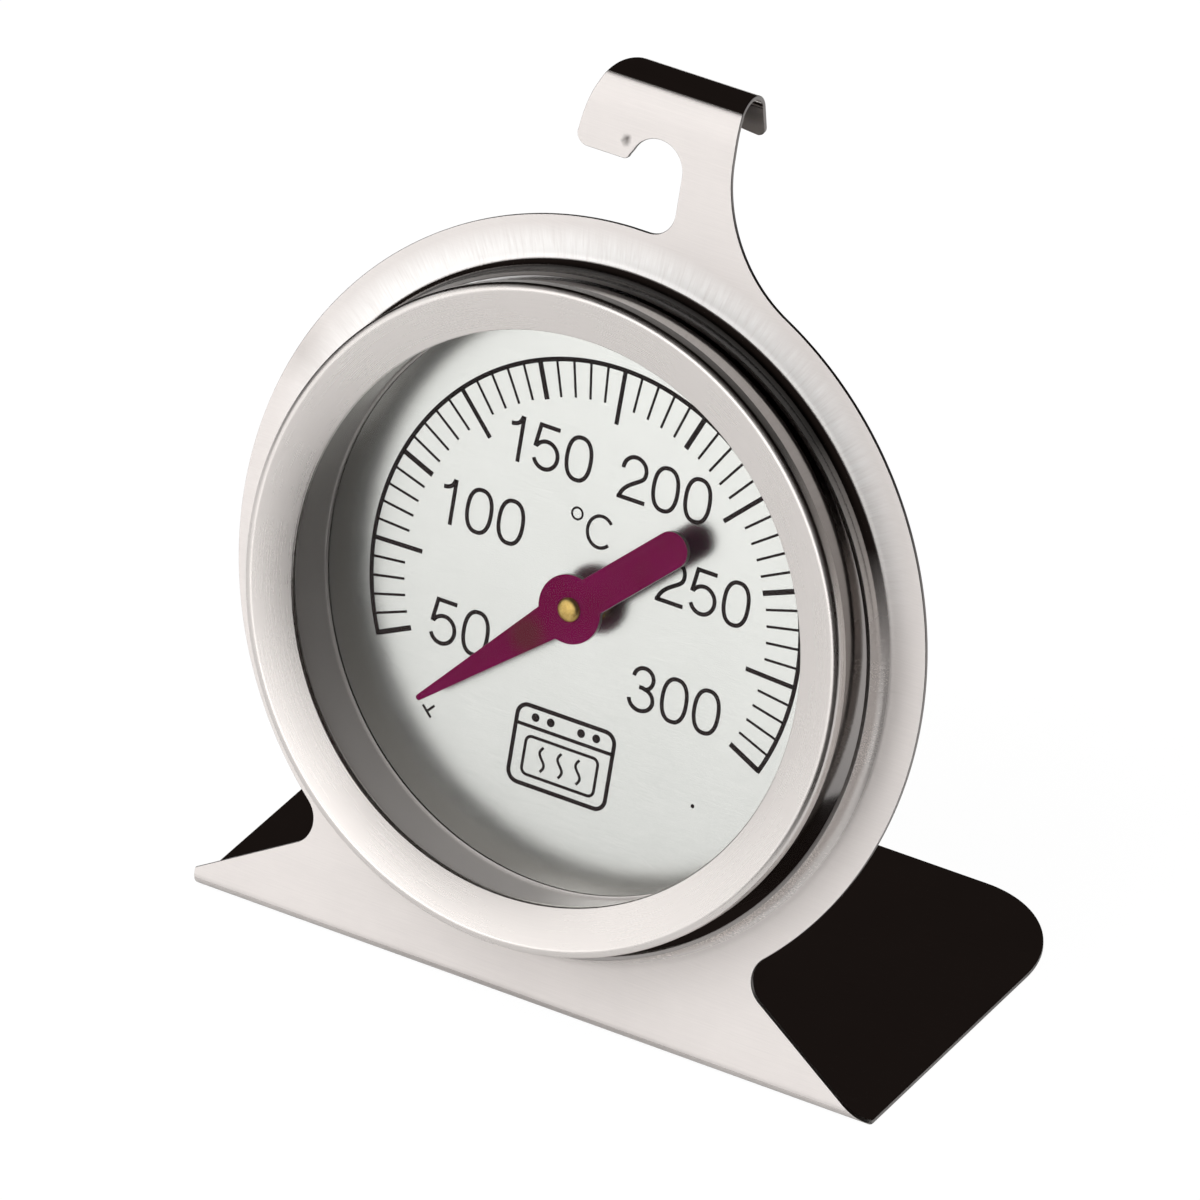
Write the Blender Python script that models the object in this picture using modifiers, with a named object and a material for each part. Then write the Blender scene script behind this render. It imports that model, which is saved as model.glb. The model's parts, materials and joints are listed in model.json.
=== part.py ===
"""Oven thermometer that stands on a shelf or hangs from a rack wire.

A round dial case with a bimetal movement is pressed into a stand bent from one steel sheet.
World frame: origin at the middle of the foot's flat underside, X to the right, Y to the back, Z up.
Head frame: origin at the middle of the dial case on the stand's front face, Z out of that face, Y up it.
Every length below is in millimetres and every angle in degrees, unless its name says otherwise.
"""

import math

import bmesh
import bpy
from mathutils import Matrix, Vector

MM = 0.001
GAP = 0.1

# Stand sheet
SHEET = 0.35
LEAN = 17.1
DISC_R = 30.0
CENTRE_UP = 32.3
FOLD_R = 1.0
FOOT_DEPTH = 32.6
FOOT_LEFT = 29.0
FOOT_RIGHT = 31.3
FOOT_CORNER_R = 8.8
WING_LEFT = (29.6, 12.2)
WING_RIGHT = (33.2, 9.9)
NOTCH_R = 2.2
COLLAR_R = 26.44
COLLAR_HIGH = 1.92
COLLAR_FILLET = 1.06
COLLAR_SLOPES = (30, 60, 90)
COLLAR_DROP = 0.48

# Hanging hook at the top of the stand
ARM_RIGHT = 6.6
ARM_FLARE = 0.15
ARM_FILLET_R = 11.8
TAB_LEFT = 6.65
TAB_BOTTOM = 34.95
TAB_SIDE_R = 13.3
TAB_SIDE_ARC = (94, 175)
TAB_CORNER_R = 1.0
SLOT_X = 0.42
SLOT_TOP_R = 2.27
SLOT_TOP_ARC = (158, 0)
SLOT_FOOT_R = 2.0
SLOT_LIP_R = 0.5
SLOT_LIP_LEFT = 0.6
SLOT_LIP_ARC = (270, 350)
CURL_START = 38.4
CURL_PATH = ((10.0, 13.0), (1.94, 143.0))
CURL_CORNER_R = 0.8

# Dial case, heights measured out of the stand's front face
CUP_R = 25.5
CUP_WALL = 0.35
CUP_BACK = -8.0
CUP_RIM = 5.2
CUP_CORNER_R = 1.4
BEARING_HOLE_R = 1.55
POST_HOLE_R = 0.6
BEZEL_R = 25.85
BEZEL_SKIRT = 4.67
BEZEL_TOP = 5.93
BEZEL_OPEN_R = 22.09
BEZEL_OPEN_TOP = 5.0
BEZEL_SHEET = 0.25
BEZEL_LIP = 0.4
BEZEL_LIP_WALL = 0.3
BEZEL_EDGE = 0.12
BEZEL_SHOULDER = 0.6
LENS_R = 24.8
LENS_THICK = 0.8
LENS_CHAMFER = 0.2
LENS_SEAT_GAP = 0.15
LENS_TOP = 4.45
RING_IN_R = 22.74
RING_WALL = 0.5
RING_OUT_R = 24.95
FLANGE = 0.5
DIAL_FACE = -0.97
DIAL_THICK = 0.45
DIAL_HOLE_R = 1.9
SUPPORT_OUT_R = 24.1

# Vents in the back of the case
VENTS = 8
VENT_MIDDLE_R = 18.0
VENT_LONG = 6.0
VENT_WIDE = 1.8

# Movement
ARBOR_R = 0.65
FIT = 0.06
BRIDGE_WIDE = 5.0
BRIDGE_SHEET = 0.5
BRIDGE_HALF = 9.6
BRIDGE_FEET = 14.0
BRIDGE_FRONT = -2.1
BRIDGE_BEND = 0.6
BUSH_R = 1.3
BUSH_HEAD_R = 1.9
REAR_BUSH_R = 1.48
REAR_BUSH_HEAD_R = 2.4
SEAT = 0.05
RIVET_X = 12.0
RIVET_R = 0.9
RIVET_HOLE_R = 0.98
COIL_TURNS = 6
COIL_IN_R = 2.0
COIL_OUT_R = 8.2
COIL_STRIP = 0.25
COIL_BACK = -6.2
COIL_FRONT = -3.8
POST_R = 0.8
POST_STEM_R = 0.52

# Pointer
POINTER_TOP = 1.26
POINTER_SHEET = 0.4
POINTER_HUB_R = 2.7
POINTER_TIP = 15.96
POINTER_TIP_R = 0.24
POINTER_ROOT_HALF = 1.5
POINTER_TAIL = 10.45
POINTER_TAIL_R = 1.45
POINTER_REST = 223.0
BOSS_R = 1.5
PIN_R = 0.95
PIN_NECK_R = 0.8
POINTER_HOLE_R = 0.88
PRESS_GAP = 0.03
BORE_TOP = 0.42

ROUND_STEPS = 64
SMALL_STEPS = 20


def clear_scene():
    for thing in list(bpy.data.objects):
        bpy.data.objects.remove(thing)


def material(name, colour, roughness, metallic, transmission=0.0):
    made = bpy.data.materials.new(name)
    made.use_nodes = True
    shader = made.node_tree.nodes["Principled BSDF"]
    shader.inputs["Base Color"].default_value = (*colour, 1.0)
    shader.inputs["Roughness"].default_value = roughness
    shader.inputs["Metallic"].default_value = metallic
    shader.inputs["Transmission Weight"].default_value = transmission
    made.diffuse_color = (*colour, 1.0)
    return made


def arc(x, y, radius, start, end, steps):
    """Points along an arc, both ends included; the angles are in degrees."""
    points = []
    for i in range(steps + 1):
        turn = math.radians(start + (end - start) * i / steps)
        points.append((x + radius * math.cos(turn), y + radius * math.sin(turn)))
    return points


def polar(radius, degrees):
    turn = math.radians(degrees)
    return radius * math.cos(turn), radius * math.sin(turn)


def place(thing, parent, collection, look):
    collection.objects.link(thing)
    thing.parent = parent
    thing.data.materials.append(look)
    return thing


def shade(mesh, sharp=35.0):
    mesh.shade_smooth()
    mesh.set_sharp_from_angle(angle=math.radians(sharp))


def turned(name, profile, closed, look, parent, collection, steps=ROUND_STEPS):
    """A solid of revolution about the parent's Z, from (radius, height) points."""
    mesh = bpy.data.meshes.new(name)
    shape = bmesh.new()
    corners = [shape.verts.new((r * MM, 0.0, h * MM)) for r, h in profile]
    for first, second in zip(corners, corners[1:]):
        shape.edges.new((first, second))
    if closed:
        shape.edges.new((corners[-1], corners[0]))
    shape.to_mesh(mesh)
    shape.free()
    thing = place(bpy.data.objects.new(name, mesh), parent, collection, look)
    screw = thing.modifiers.new("turn", "SCREW")
    screw.steps = steps
    screw.render_steps = steps
    screw.use_merge_vertices = True
    screw.merge_threshold = 0.00001
    screw.use_smooth_shade = True
    return thing


def cut(thing, cutter):
    boolean = thing.modifiers.new("cut " + cutter.name, "BOOLEAN")
    boolean.operation = "DIFFERENCE"
    boolean.object = cutter
    return thing


def hidden(cutter, cutters):
    cutters.objects.link(cutter)
    cutter.hide_render = True
    cutter.display_type = "WIRE"
    return cutter


def pin_cutter(name, radius, x, y, bottom, top, parent, cutters):
    mesh = bpy.data.meshes.new(name)
    shape = bmesh.new()
    size = {"radius1": radius * MM, "radius2": radius * MM, "depth": (top - bottom) * MM}
    bmesh.ops.create_cone(shape, cap_ends=True, segments=SMALL_STEPS, **size)
    shape.to_mesh(mesh)
    shape.free()
    cutter = hidden(bpy.data.objects.new(name, mesh), cutters)
    cutter.parent = parent
    cutter.location = (x * MM, y * MM, (top + bottom) / 2 * MM)
    return cutter


def flat_piece(name, loops, bottom, top, look, parent, collection):
    """A flat sheet piece from closed outlines (the first is outside, the others are holes)."""
    mesh = bpy.data.meshes.new(name)
    shape = bmesh.new()
    for loop in loops:
        corners = [shape.verts.new((x * MM, y * MM, bottom * MM)) for x, y in loop]
        for first, second in zip(corners, corners[1:] + corners[:1]):
            shape.edges.new((first, second))
    bmesh.ops.triangle_fill(shape, use_beauty=True, edges=shape.edges, normal=(0.0, 0.0, 1.0))
    bmesh.ops.recalc_face_normals(shape, faces=shape.faces)
    shape.to_mesh(mesh)
    shape.free()
    thing = place(bpy.data.objects.new(name, mesh), parent, collection, look)
    sheet = thing.modifiers.new("sheet", "SOLIDIFY")
    sheet.thickness = (top - bottom) * MM
    sheet.offset = face_side(mesh)
    return thing


def face_side(mesh):
    """Solidify's offset that thickens a flat mesh towards +Z."""
    return 1.0 if mesh.polygons[0].normal.z > 0 else -1.0


# ---------------------------------------------------------------- stand


def wing_fillet_centre(slope, line):
    """Centre of the fillet between the disc and a wing's edge, which slopes and passes a distance line below
    the disc's centre; on the right side."""
    tilt = math.radians(slope)
    normal = Vector((math.sin(tilt), math.cos(tilt)))
    along = Vector((math.cos(tilt), -math.sin(tilt)))
    down = NOTCH_R - line
    reach = math.sqrt((DISC_R + NOTCH_R) ** 2 - down**2)
    return normal * down + along * reach


def side_outline(foot_half, foot_end, wing):
    """One side as if on the right, from the foot's rear corner up to the disc, and its end angle."""
    slope, line = wing
    centre = wing_fillet_centre(slope, line)
    touch = math.degrees(math.atan2(centre.y, centre.x))
    tilt = math.radians(slope)
    wing_tip = (-line - math.sin(tilt) * foot_half) / math.cos(tilt)
    points = arc(foot_half - FOOT_CORNER_R, foot_end + FOOT_CORNER_R, FOOT_CORNER_R, -90, 0, 10)
    points.append((foot_half, wing_tip))
    points += arc(centre.x, centre.y, NOTCH_R, 270 - slope, touch + 180, 8)
    return points, touch


def hook_outline():
    """From the arm's fillet on the disc, up and round the hook, back to the disc, counter-clockwise.

    One wide arc runs from the tab's left side, over the curl, to the hook's free end."""
    fillet_x = ARM_RIGHT + ARM_FLARE + ARM_FILLET_R
    fillet_y = math.sqrt((DISC_R + ARM_FILLET_R) ** 2 - fillet_x**2)
    touch = math.degrees(math.atan2(fillet_y, fillet_x))
    points = arc(fillet_x, fillet_y, ARM_FILLET_R, touch + 180, 180, 10)
    corner_y = TAB_BOTTOM + TAB_SIDE_R - CURL_CORNER_R
    points += arc(ARM_RIGHT - CURL_CORNER_R, corner_y, CURL_CORNER_R, 0, 80, 5)
    points += arc(TAB_SIDE_R - TAB_LEFT, TAB_BOTTOM, TAB_SIDE_R, *TAB_SIDE_ARC, 18)
    points += arc(TAB_CORNER_R - TAB_LEFT, TAB_BOTTOM + TAB_CORNER_R, TAB_CORNER_R, 180, 270, 5)
    lip_x = SLOT_X - SLOT_TOP_R - SLOT_LIP_LEFT
    points += arc(lip_x, TAB_BOTTOM + SLOT_LIP_R, SLOT_LIP_R, *SLOT_LIP_ARC, 4)
    points += arc(SLOT_X, TAB_BOTTOM, SLOT_TOP_R, *SLOT_TOP_ARC, 14)
    foot_x = SLOT_X + SLOT_TOP_R - SLOT_FOOT_R
    foot_y = math.sqrt((DISC_R + SLOT_FOOT_R) ** 2 - foot_x**2)
    points += arc(foot_x, foot_y, SLOT_FOOT_R, 0, -90, 7)
    return points, touch


def stand_outline(foot_end):
    """The sheet's flat outline, counter-clockwise from the foot's right rear corner."""
    right, right_touch = side_outline(FOOT_RIGHT, foot_end, WING_RIGHT)
    left, left_touch = side_outline(FOOT_LEFT, foot_end, WING_LEFT)
    hook, hook_touch = hook_outline()
    outline = right
    outline += arc(0, 0, DISC_R, right_touch + 2, hook_touch - 1.5, 34)
    outline += hook
    outline += arc(0, 0, DISC_R, 93, 180 - left_touch - 2, 42)
    outline += [(-x, y) for x, y in reversed(left)]
    return outline


def follow(path, distance):
    """Where a strip is after a distance along bends of (radius, degrees), as (ahead, sideways)."""
    ahead, side, turn = 0.0, 0.0, 0.0
    for radius, degrees in path:
        step = min(distance, radius * math.radians(degrees))
        after = turn + step / radius
        ahead += radius * (math.sin(after) - math.sin(turn))
        side += radius * (math.cos(turn) - math.cos(after))
        turn = after
        distance -= step
    return ahead + distance * math.cos(turn), side + distance * math.sin(turn)


def path_length(path):
    return sum(radius * math.radians(degrees) for radius, degrees in path)


def bend_marks(path, degrees_each):
    """Distances along a path of bends at which the sheet is creased, so that each bend is round."""
    marks, start = [], 0.0
    for radius, degrees in path:
        length = radius * math.radians(degrees)
        count = max(2, round(degrees / degrees_each))
        marks += [start + length * i / count for i in range(count + 1)]
        start += length
    return sorted({round(mark, 6) for mark in marks})


def bend_sheet(shape, start, sign, path):
    """Creases and bends the sheet beyond a line at height start, upwards or downwards by the sign."""
    for mark in bend_marks(path, 14.0):
        line = Vector((0.0, (start + sign * mark) * MM, 0.0))
        everything = list(shape.verts) + list(shape.edges) + list(shape.faces)
        bmesh.ops.bisect_plane(shape, geom=everything, dist=1e-8, plane_co=line, plane_no=(0.0, 1.0, 0.0))
    for corner in shape.verts:
        distance = sign * (corner.co.y / MM - start)
        if distance > 0:
            ahead, side = follow(path, distance)
            corner.co.y = (start + sign * ahead) * MM
            corner.co.z = -side * MM


def raise_collar(shape, hole_r):
    """Draws the hole's edge forward into a collar: a quarter-round fillet, then a short wall."""
    limit = (hole_r + COLLAR_DROP + GAP) * MM
    rim = [e for e in shape.edges if e.is_boundary and max(v.co.length for v in e.verts) < limit]
    middle = Vector((0.0, -COLLAR_DROP * MM))
    rings = []
    for slope in COLLAR_SLOPES:
        turn = math.radians(slope)
        rings.append((hole_r - COLLAR_FILLET * math.sin(turn), COLLAR_FILLET * (1 - math.cos(turn))))
    rings.append((COLLAR_R, COLLAR_HIGH))
    for radius, height in rings:
        grown = bmesh.ops.extrude_edge_only(shape, edges=rim)["geom"]
        rim = [g for g in grown if isinstance(g, bmesh.types.BMEdge)]
        for corner in {v for e in rim for v in e.verts}:
            flat = middle + (corner.co.xy - middle).normalized() * radius * MM
            corner.co = (flat.x, flat.y, height * MM)


def stand_plate(head, collection, look):
    """One sheet: foot, fold, disc with a raised collar, and the arm that curls back into a hook."""
    fold = ((FOLD_R, 90.0 + LEAN),)
    fold_reach = FOLD_R * math.tan(math.radians(90.0 + LEAN) / 2)
    fold_start = fold_reach - CENTRE_UP
    foot_end = fold_start - path_length(fold) - (FOOT_DEPTH - fold_reach)
    hole_r = COLLAR_R + COLLAR_FILLET
    hole = arc(0, -COLLAR_DROP, hole_r, 0, 360, ROUND_STEPS + 8)[:-1]
    mesh = bpy.data.meshes.new("stand_plate")
    shape = bmesh.new()
    for loop in (stand_outline(foot_end), hole):
        corners = [shape.verts.new((x * MM, y * MM, 0.0)) for x, y in loop]
        for first, second in zip(corners, corners[1:] + corners[:1]):
            shape.edges.new((first, second))
    bmesh.ops.triangle_fill(shape, use_beauty=True, edges=shape.edges, normal=(0.0, 0.0, 1.0))
    raise_collar(shape, hole_r)
    bend_sheet(shape, CURL_START, 1, CURL_PATH)
    bend_sheet(shape, fold_start, -1, fold)
    bmesh.ops.recalc_face_normals(shape, faces=shape.faces)
    above = Vector((0.0, (hole_r + DISC_R) / 2 * MM, 0.0))
    front = min(shape.faces, key=lambda f: (f.calc_center_median() - above).length)
    if front.normal.z < 0:
        bmesh.ops.reverse_faces(shape, faces=shape.faces)
    shape.to_mesh(mesh)
    shape.free()
    shade(mesh)
    thing = place(bpy.data.objects.new("stand_plate", mesh), head, collection, look)
    sheet = thing.modifiers.new("sheet", "SOLIDIFY")
    sheet.thickness = SHEET * MM
    sheet.offset = -1.0
    sheet.use_even_offset = True
    return thing


# ---------------------------------------------------------------- dial case


def case_cup(head, collection, cutters, look):
    """Drawn cup that sits high in the stand's collar, with holes for the movement and vents in its back."""
    inside = CUP_R - CUP_WALL
    corner = CUP_CORNER_R
    inner_corner = corner - CUP_WALL
    outer = [(CUP_R, CUP_RIM)]
    outer += arc(CUP_R - corner, CUP_BACK + corner, corner, 0, -90, 4)
    inner = arc(CUP_R - corner, CUP_BACK + corner, inner_corner, -90, 0, 4)
    profile = outer + [(0.0, CUP_BACK), (0.0, CUP_BACK + CUP_WALL)] + inner + [(inside, CUP_RIM)]
    cup = turned("case_cup", profile, True, look, head, collection)
    below, above = CUP_BACK - 2, CUP_BACK + 2
    cut(cup, pin_cutter("bearing_hole", BEARING_HOLE_R, 0, 0, below, above, head, cutters))
    cut(cup, pin_cutter("post_hole", POST_HOLE_R, *coil_end(), below, above, head, cutters))
    for side in (-1, 1):
        x = side * RIVET_X
        cut(cup, pin_cutter("rivet_hole", RIVET_HOLE_R, x, 0, below, above, head, cutters))
    for i in range(VENTS):
        cut(cup, vent_cutter(360 * (i + 0.5) / VENTS, head, cutters))
    return cup


def vent_cutter(degrees, head, cutters):
    """A round-ended slot that points outwards."""
    half = (VENT_LONG - VENT_WIDE) / 2
    loop = arc(half, 0, VENT_WIDE / 2, -90, 90, 6) + arc(-half, 0, VENT_WIDE / 2, 90, 270, 6)
    mesh = bpy.data.meshes.new("vent")
    shape = bmesh.new()
    face = shape.faces.new([shape.verts.new((x * MM, y * MM, -MM)) for x, y in loop])
    grown = bmesh.ops.extrude_face_region(shape, geom=[face])["geom"]
    top = [g for g in grown if isinstance(g, bmesh.types.BMVert)]
    bmesh.ops.translate(shape, verts=top, vec=(0, 0, 2 * MM))
    bmesh.ops.recalc_face_normals(shape, faces=shape.faces)
    shape.to_mesh(mesh)
    shape.free()
    cutter = hidden(bpy.data.objects.new("vent", mesh), cutters)
    cutter.parent = head
    x, y = polar(VENT_MIDDLE_R, degrees)
    cutter.location = (x * MM, y * MM, CUP_BACK * MM)
    cutter.rotation_euler = (0.0, 0.0, math.radians(degrees))
    return cutter


def bezel_ring(head, collection, look):
    """Pressed ring: a short skirt round the cup's rim, a shoulder, a sloping face and a turned-in lip."""
    lip_foot = BEZEL_OPEN_TOP - BEZEL_LIP
    face = [(BEZEL_OPEN_R, lip_foot), (BEZEL_OPEN_R, BEZEL_OPEN_TOP - BEZEL_EDGE)]
    face += [(BEZEL_OPEN_R + BEZEL_EDGE, BEZEL_OPEN_TOP), (BEZEL_R - BEZEL_SHOULDER, BEZEL_TOP - 0.04)]
    shoulder = [(BEZEL_R - 0.35, BEZEL_TOP), (BEZEL_R - BEZEL_EDGE, BEZEL_TOP - BEZEL_EDGE)]
    shoulder.append((BEZEL_R, BEZEL_TOP - BEZEL_LIP))
    skirt = [(BEZEL_R, BEZEL_SKIRT), (BEZEL_R - BEZEL_SHEET, BEZEL_SKIRT)]
    inside = [(BEZEL_R - BEZEL_SHEET, BEZEL_TOP - 0.45), (BEZEL_R - 0.5, BEZEL_TOP - 0.33)]
    lip_back = BEZEL_OPEN_R + BEZEL_LIP_WALL
    inside += [(lip_back + 0.05, BEZEL_OPEN_TOP - BEZEL_SHEET), (lip_back, lip_foot)]
    return turned("bezel_ring", face + shoulder + skirt + inside, True, look, head, collection)


def glass_lens(head, collection, look):
    bottom = LENS_TOP - LENS_THICK
    side = LENS_R - LENS_CHAMFER
    edge = [(side, LENS_TOP), (LENS_R, LENS_TOP - LENS_CHAMFER)]
    edge += [(LENS_R, bottom + LENS_CHAMFER), (side, bottom)]
    return turned("glass_lens", [(0.0, LENS_TOP)] + edge + [(0.0, bottom)], False, look, head, collection)


def spacer_ring(head, collection, look):
    """Wall between dial and lens, with a flange at the top that carries the lens."""
    top = LENS_TOP - LENS_THICK - LENS_SEAT_GAP
    bottom = DIAL_FACE + GAP
    wall = RING_IN_R + RING_WALL
    profile = [(RING_OUT_R, top), (RING_OUT_R, top - FLANGE), (wall, top - FLANGE), (wall, bottom)]
    profile += [(RING_IN_R, bottom), (RING_IN_R, top)]
    return turned("spacer_ring", profile, True, look, head, collection)


def dial_plate(head, collection, look):
    back = DIAL_FACE - DIAL_THICK
    profile = [(RING_OUT_R, DIAL_FACE), (RING_OUT_R, back), (DIAL_HOLE_R, back), (DIAL_HOLE_R, DIAL_FACE)]
    return turned("dial_plate", profile, True, look, head, collection)


def dial_support_ring(head, collection, look):
    """Ring that stands on the cup's floor and carries the dial on its flange."""
    top = DIAL_FACE - DIAL_THICK - GAP
    bottom = CUP_BACK + CUP_WALL + GAP
    wall = SUPPORT_OUT_R - RING_WALL
    profile = [(RING_OUT_R, top), (RING_OUT_R, top - FLANGE), (SUPPORT_OUT_R, top - FLANGE)]
    profile += [(SUPPORT_OUT_R, bottom), (wall, bottom), (wall, top)]
    return turned("dial_support_ring", profile, True, look, head, collection)


# ---------------------------------------------------------------- movement


def movement_bridge(head, collection, cutters, look):
    """Strip bent into a hat: two feet on the cup's floor, two legs, and a web for the front bearing."""
    foot = CUP_BACK + CUP_WALL + GAP
    middle = BRIDGE_SHEET / 2
    half = [(0.0, BRIDGE_FRONT - middle), (BRIDGE_HALF - BRIDGE_BEND, BRIDGE_FRONT - middle)]
    half += [(BRIDGE_HALF, BRIDGE_FRONT - middle - BRIDGE_BEND), (BRIDGE_HALF, foot + middle + BRIDGE_BEND)]
    half += [(BRIDGE_HALF + BRIDGE_BEND, foot + middle), (BRIDGE_FEET, foot + middle)]
    line = [(-x, z) for x, z in reversed(half[1:])] + half
    mesh = bpy.data.meshes.new("movement_bridge")
    shape = bmesh.new()
    wide = BRIDGE_WIDE / 2
    rows = [[shape.verts.new((x * MM, y * MM, z * MM)) for x, z in line] for y in (-wide, wide)]
    for i in range(len(line) - 1):
        shape.faces.new((rows[0][i], rows[0][i + 1], rows[1][i + 1], rows[1][i]))
    shape.to_mesh(mesh)
    shape.free()
    bridge = place(bpy.data.objects.new("movement_bridge", mesh), head, collection, look)
    sheet = bridge.modifiers.new("sheet", "SOLIDIFY")
    sheet.thickness = BRIDGE_SHEET * MM
    sheet.offset = 0.0
    sheet.use_even_offset = True
    front = pin_cutter("bush_hole", BUSH_R + FIT, 0, 0, BRIDGE_FRONT - 1, BRIDGE_FRONT + 1, head, cutters)
    cut(bridge, front)
    for side in (-1, 1):
        x = side * RIVET_X
        cut(bridge, pin_cutter("foot_hole", RIVET_HOLE_R, x, 0, foot - 1, foot + 1, head, cutters))
    return bridge


def bridge_rivet(name, side, head, collection, look):
    """Rivet through the cup's floor and one foot of the bridge, headed on both sides."""
    inside = CUP_BACK + CUP_WALL + GAP + BRIDGE_SHEET + GAP
    outside = CUP_BACK - GAP
    profile = [(0.0, inside + 0.6), (1.1, inside + 0.5), (1.6, inside + 0.15), (1.6, inside)]
    profile += [(RIVET_R, inside), (RIVET_R, outside), (1.8, outside)]
    profile += [(1.8, outside - 0.15), (1.2, outside - 0.55), (0.0, outside - 0.7)]
    rivet = turned(name, profile, False, look, head, collection, SMALL_STEPS)
    rivet.location = (side * RIVET_X * MM, 0.0, 0.0)
    return rivet


def front_bearing(head, collection, look):
    """Bush in the bridge's web."""
    bore = ARBOR_R + FIT
    top = BRIDGE_FRONT + 0.35
    bottom = BRIDGE_FRONT - BRIDGE_SHEET - 0.3
    seat = BRIDGE_FRONT + SEAT
    profile = [(BUSH_HEAD_R, top), (BUSH_HEAD_R, seat), (BUSH_R, seat), (BUSH_R, bottom)]
    profile += [(bore, bottom), (bore, top)]
    return turned("front_bearing", profile, True, look, head, collection, SMALL_STEPS)


def rear_bearing(head, collection, look):
    """Bush in the cup's floor, headed on the inside."""
    bore = ARBOR_R + FIT
    floor = CUP_BACK + CUP_WALL
    seat = floor + SEAT
    profile = [(REAR_BUSH_HEAD_R, floor + 0.5), (REAR_BUSH_HEAD_R, seat)]
    profile += [(REAR_BUSH_R, seat), (REAR_BUSH_R, CUP_BACK - 0.3)]
    profile += [(bore, CUP_BACK - 0.3), (bore, floor + 0.5)]
    return turned("rear_bearing", profile, True, look, head, collection, SMALL_STEPS)


def coil_radius(turns):
    return COIL_IN_R + (COIL_OUT_R - COIL_IN_R) * turns / COIL_TURNS


def coil_end():
    """Where the outer end of the coil is held, in the head frame."""
    return 0.0, COIL_OUT_R


def bimetal_coil(head, collection, look):
    """Flat spiral of bimetal strip, wound out from the collet to the post at the top."""
    steps = 20 * COIL_TURNS
    tail = 3
    mesh = bpy.data.meshes.new("bimetal_coil")
    shape = bmesh.new()
    rows = []
    for i in range(steps + tail + 1):
        turns = i / 20
        x, y = polar(min(coil_radius(turns), COIL_OUT_R), 90 - 360 * (COIL_TURNS - turns))
        rows.append([shape.verts.new((x * MM, y * MM, z * MM)) for z in (COIL_BACK, COIL_FRONT)])
    for first, second in zip(rows, rows[1:]):
        shape.faces.new((first[0], second[0], second[1], first[1]))
    shape.to_mesh(mesh)
    shape.free()
    shade(mesh)
    coil = place(bpy.data.objects.new("bimetal_coil", mesh), head, collection, look)
    strip = coil.modifiers.new("strip", "SOLIDIFY")
    strip.thickness = COIL_STRIP * MM
    strip.offset = 0.0
    strip.use_even_offset = True
    return coil


def coil_post(head, collection, cutters, look):
    """Post riveted in the cup's floor, split at its front end to hold the coil's outer end."""
    floor = CUP_BACK + CUP_WALL
    x, y = coil_end()
    top, seat, outside = COIL_FRONT + 0.3, floor + GAP, CUP_BACK - GAP
    profile = [(0.0, top), (POST_R, top), (POST_R, seat), (POST_STEM_R, seat)]
    profile += [(POST_STEM_R, outside), (1.1, outside), (0.8, CUP_BACK - 0.5), (0.0, CUP_BACK - 0.6)]
    post = turned("coil_post", profile, False, look, head, collection, SMALL_STEPS)
    post.location = (x * MM, y * MM, 0.0)
    mesh = bpy.data.meshes.new("post_slot")
    shape = bmesh.new()
    bmesh.ops.create_cube(shape, size=MM)
    shape.to_mesh(mesh)
    shape.free()
    slot = hidden(bpy.data.objects.new("post_slot", mesh), cutters)
    slot.parent = head
    deep = COIL_FRONT - COIL_BACK + 1.2
    slot.matrix_local = Matrix.Translation((x * MM, y * MM, (COIL_BACK - 0.2 + deep / 2) * MM))
    for corner in mesh.vertices:
        corner.co.x *= 4.0
        corner.co.y *= COIL_STRIP + 0.25
        corner.co.z *= deep
    return cut(post, slot)


def coil_collet(shaft, collection, look):
    """Brass collar on the arbor that carries the coil's inner end."""
    outer = COIL_IN_R - COIL_STRIP / 2 - 0.15
    bore = ARBOR_R + PRESS_GAP
    top, bottom = COIL_FRONT + 0.4, COIL_BACK - 0.3
    profile = [(outer, top), (outer, bottom), (bore, bottom), (bore, top)]
    return turned("coil_collet", profile, True, look, shaft, collection, SMALL_STEPS)


def arbor(shaft, collection, look):
    """The pointer's shaft, from the rear bush to the boss."""
    back, front = CUP_BACK - 0.15, POINTER_TOP - 0.5
    profile = [(0.0, front), (ARBOR_R - 0.1, front), (ARBOR_R, front - 0.1), (ARBOR_R, back + 0.1)]
    profile += [(ARBOR_R - 0.1, back), (0.0, back)]
    return turned("arbor", profile, False, look, shaft, collection, SMALL_STEPS)


def thrust_washer(shaft, collection, look):
    """Thin washer between the front bearing and the boss."""
    bottom = BRIDGE_FRONT + 0.45
    profile = [(1.5, bottom + 0.2), (1.5, bottom), (ARBOR_R + FIT, bottom), (ARBOR_R + FIT, bottom + 0.2)]
    return turned("thrust_washer", profile, True, look, shaft, collection, SMALL_STEPS)


def pointer_boss(shaft, collection, look):
    """Brass boss pressed on the arbor; its riveted front end shows as the pin in the pointer."""
    bottom = BRIDGE_FRONT + 0.75
    under = POINTER_TOP - POINTER_SHEET - 0.05
    bore = ARBOR_R + PRESS_GAP
    head_foot = POINTER_TOP + 0.04
    profile = [(0.0, head_foot + 0.32), (0.5, head_foot + 0.27), (0.82, head_foot + 0.14)]
    profile += [(PIN_R, head_foot), (PIN_NECK_R, head_foot), (PIN_NECK_R, under)]
    profile += [(BOSS_R, under), (BOSS_R, bottom)]
    profile += [(bore, bottom), (bore, POINTER_TOP - BORE_TOP), (0.0, POINTER_TOP - BORE_TOP)]
    return turned("pointer_boss", profile, False, look, shaft, collection, SMALL_STEPS)


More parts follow.
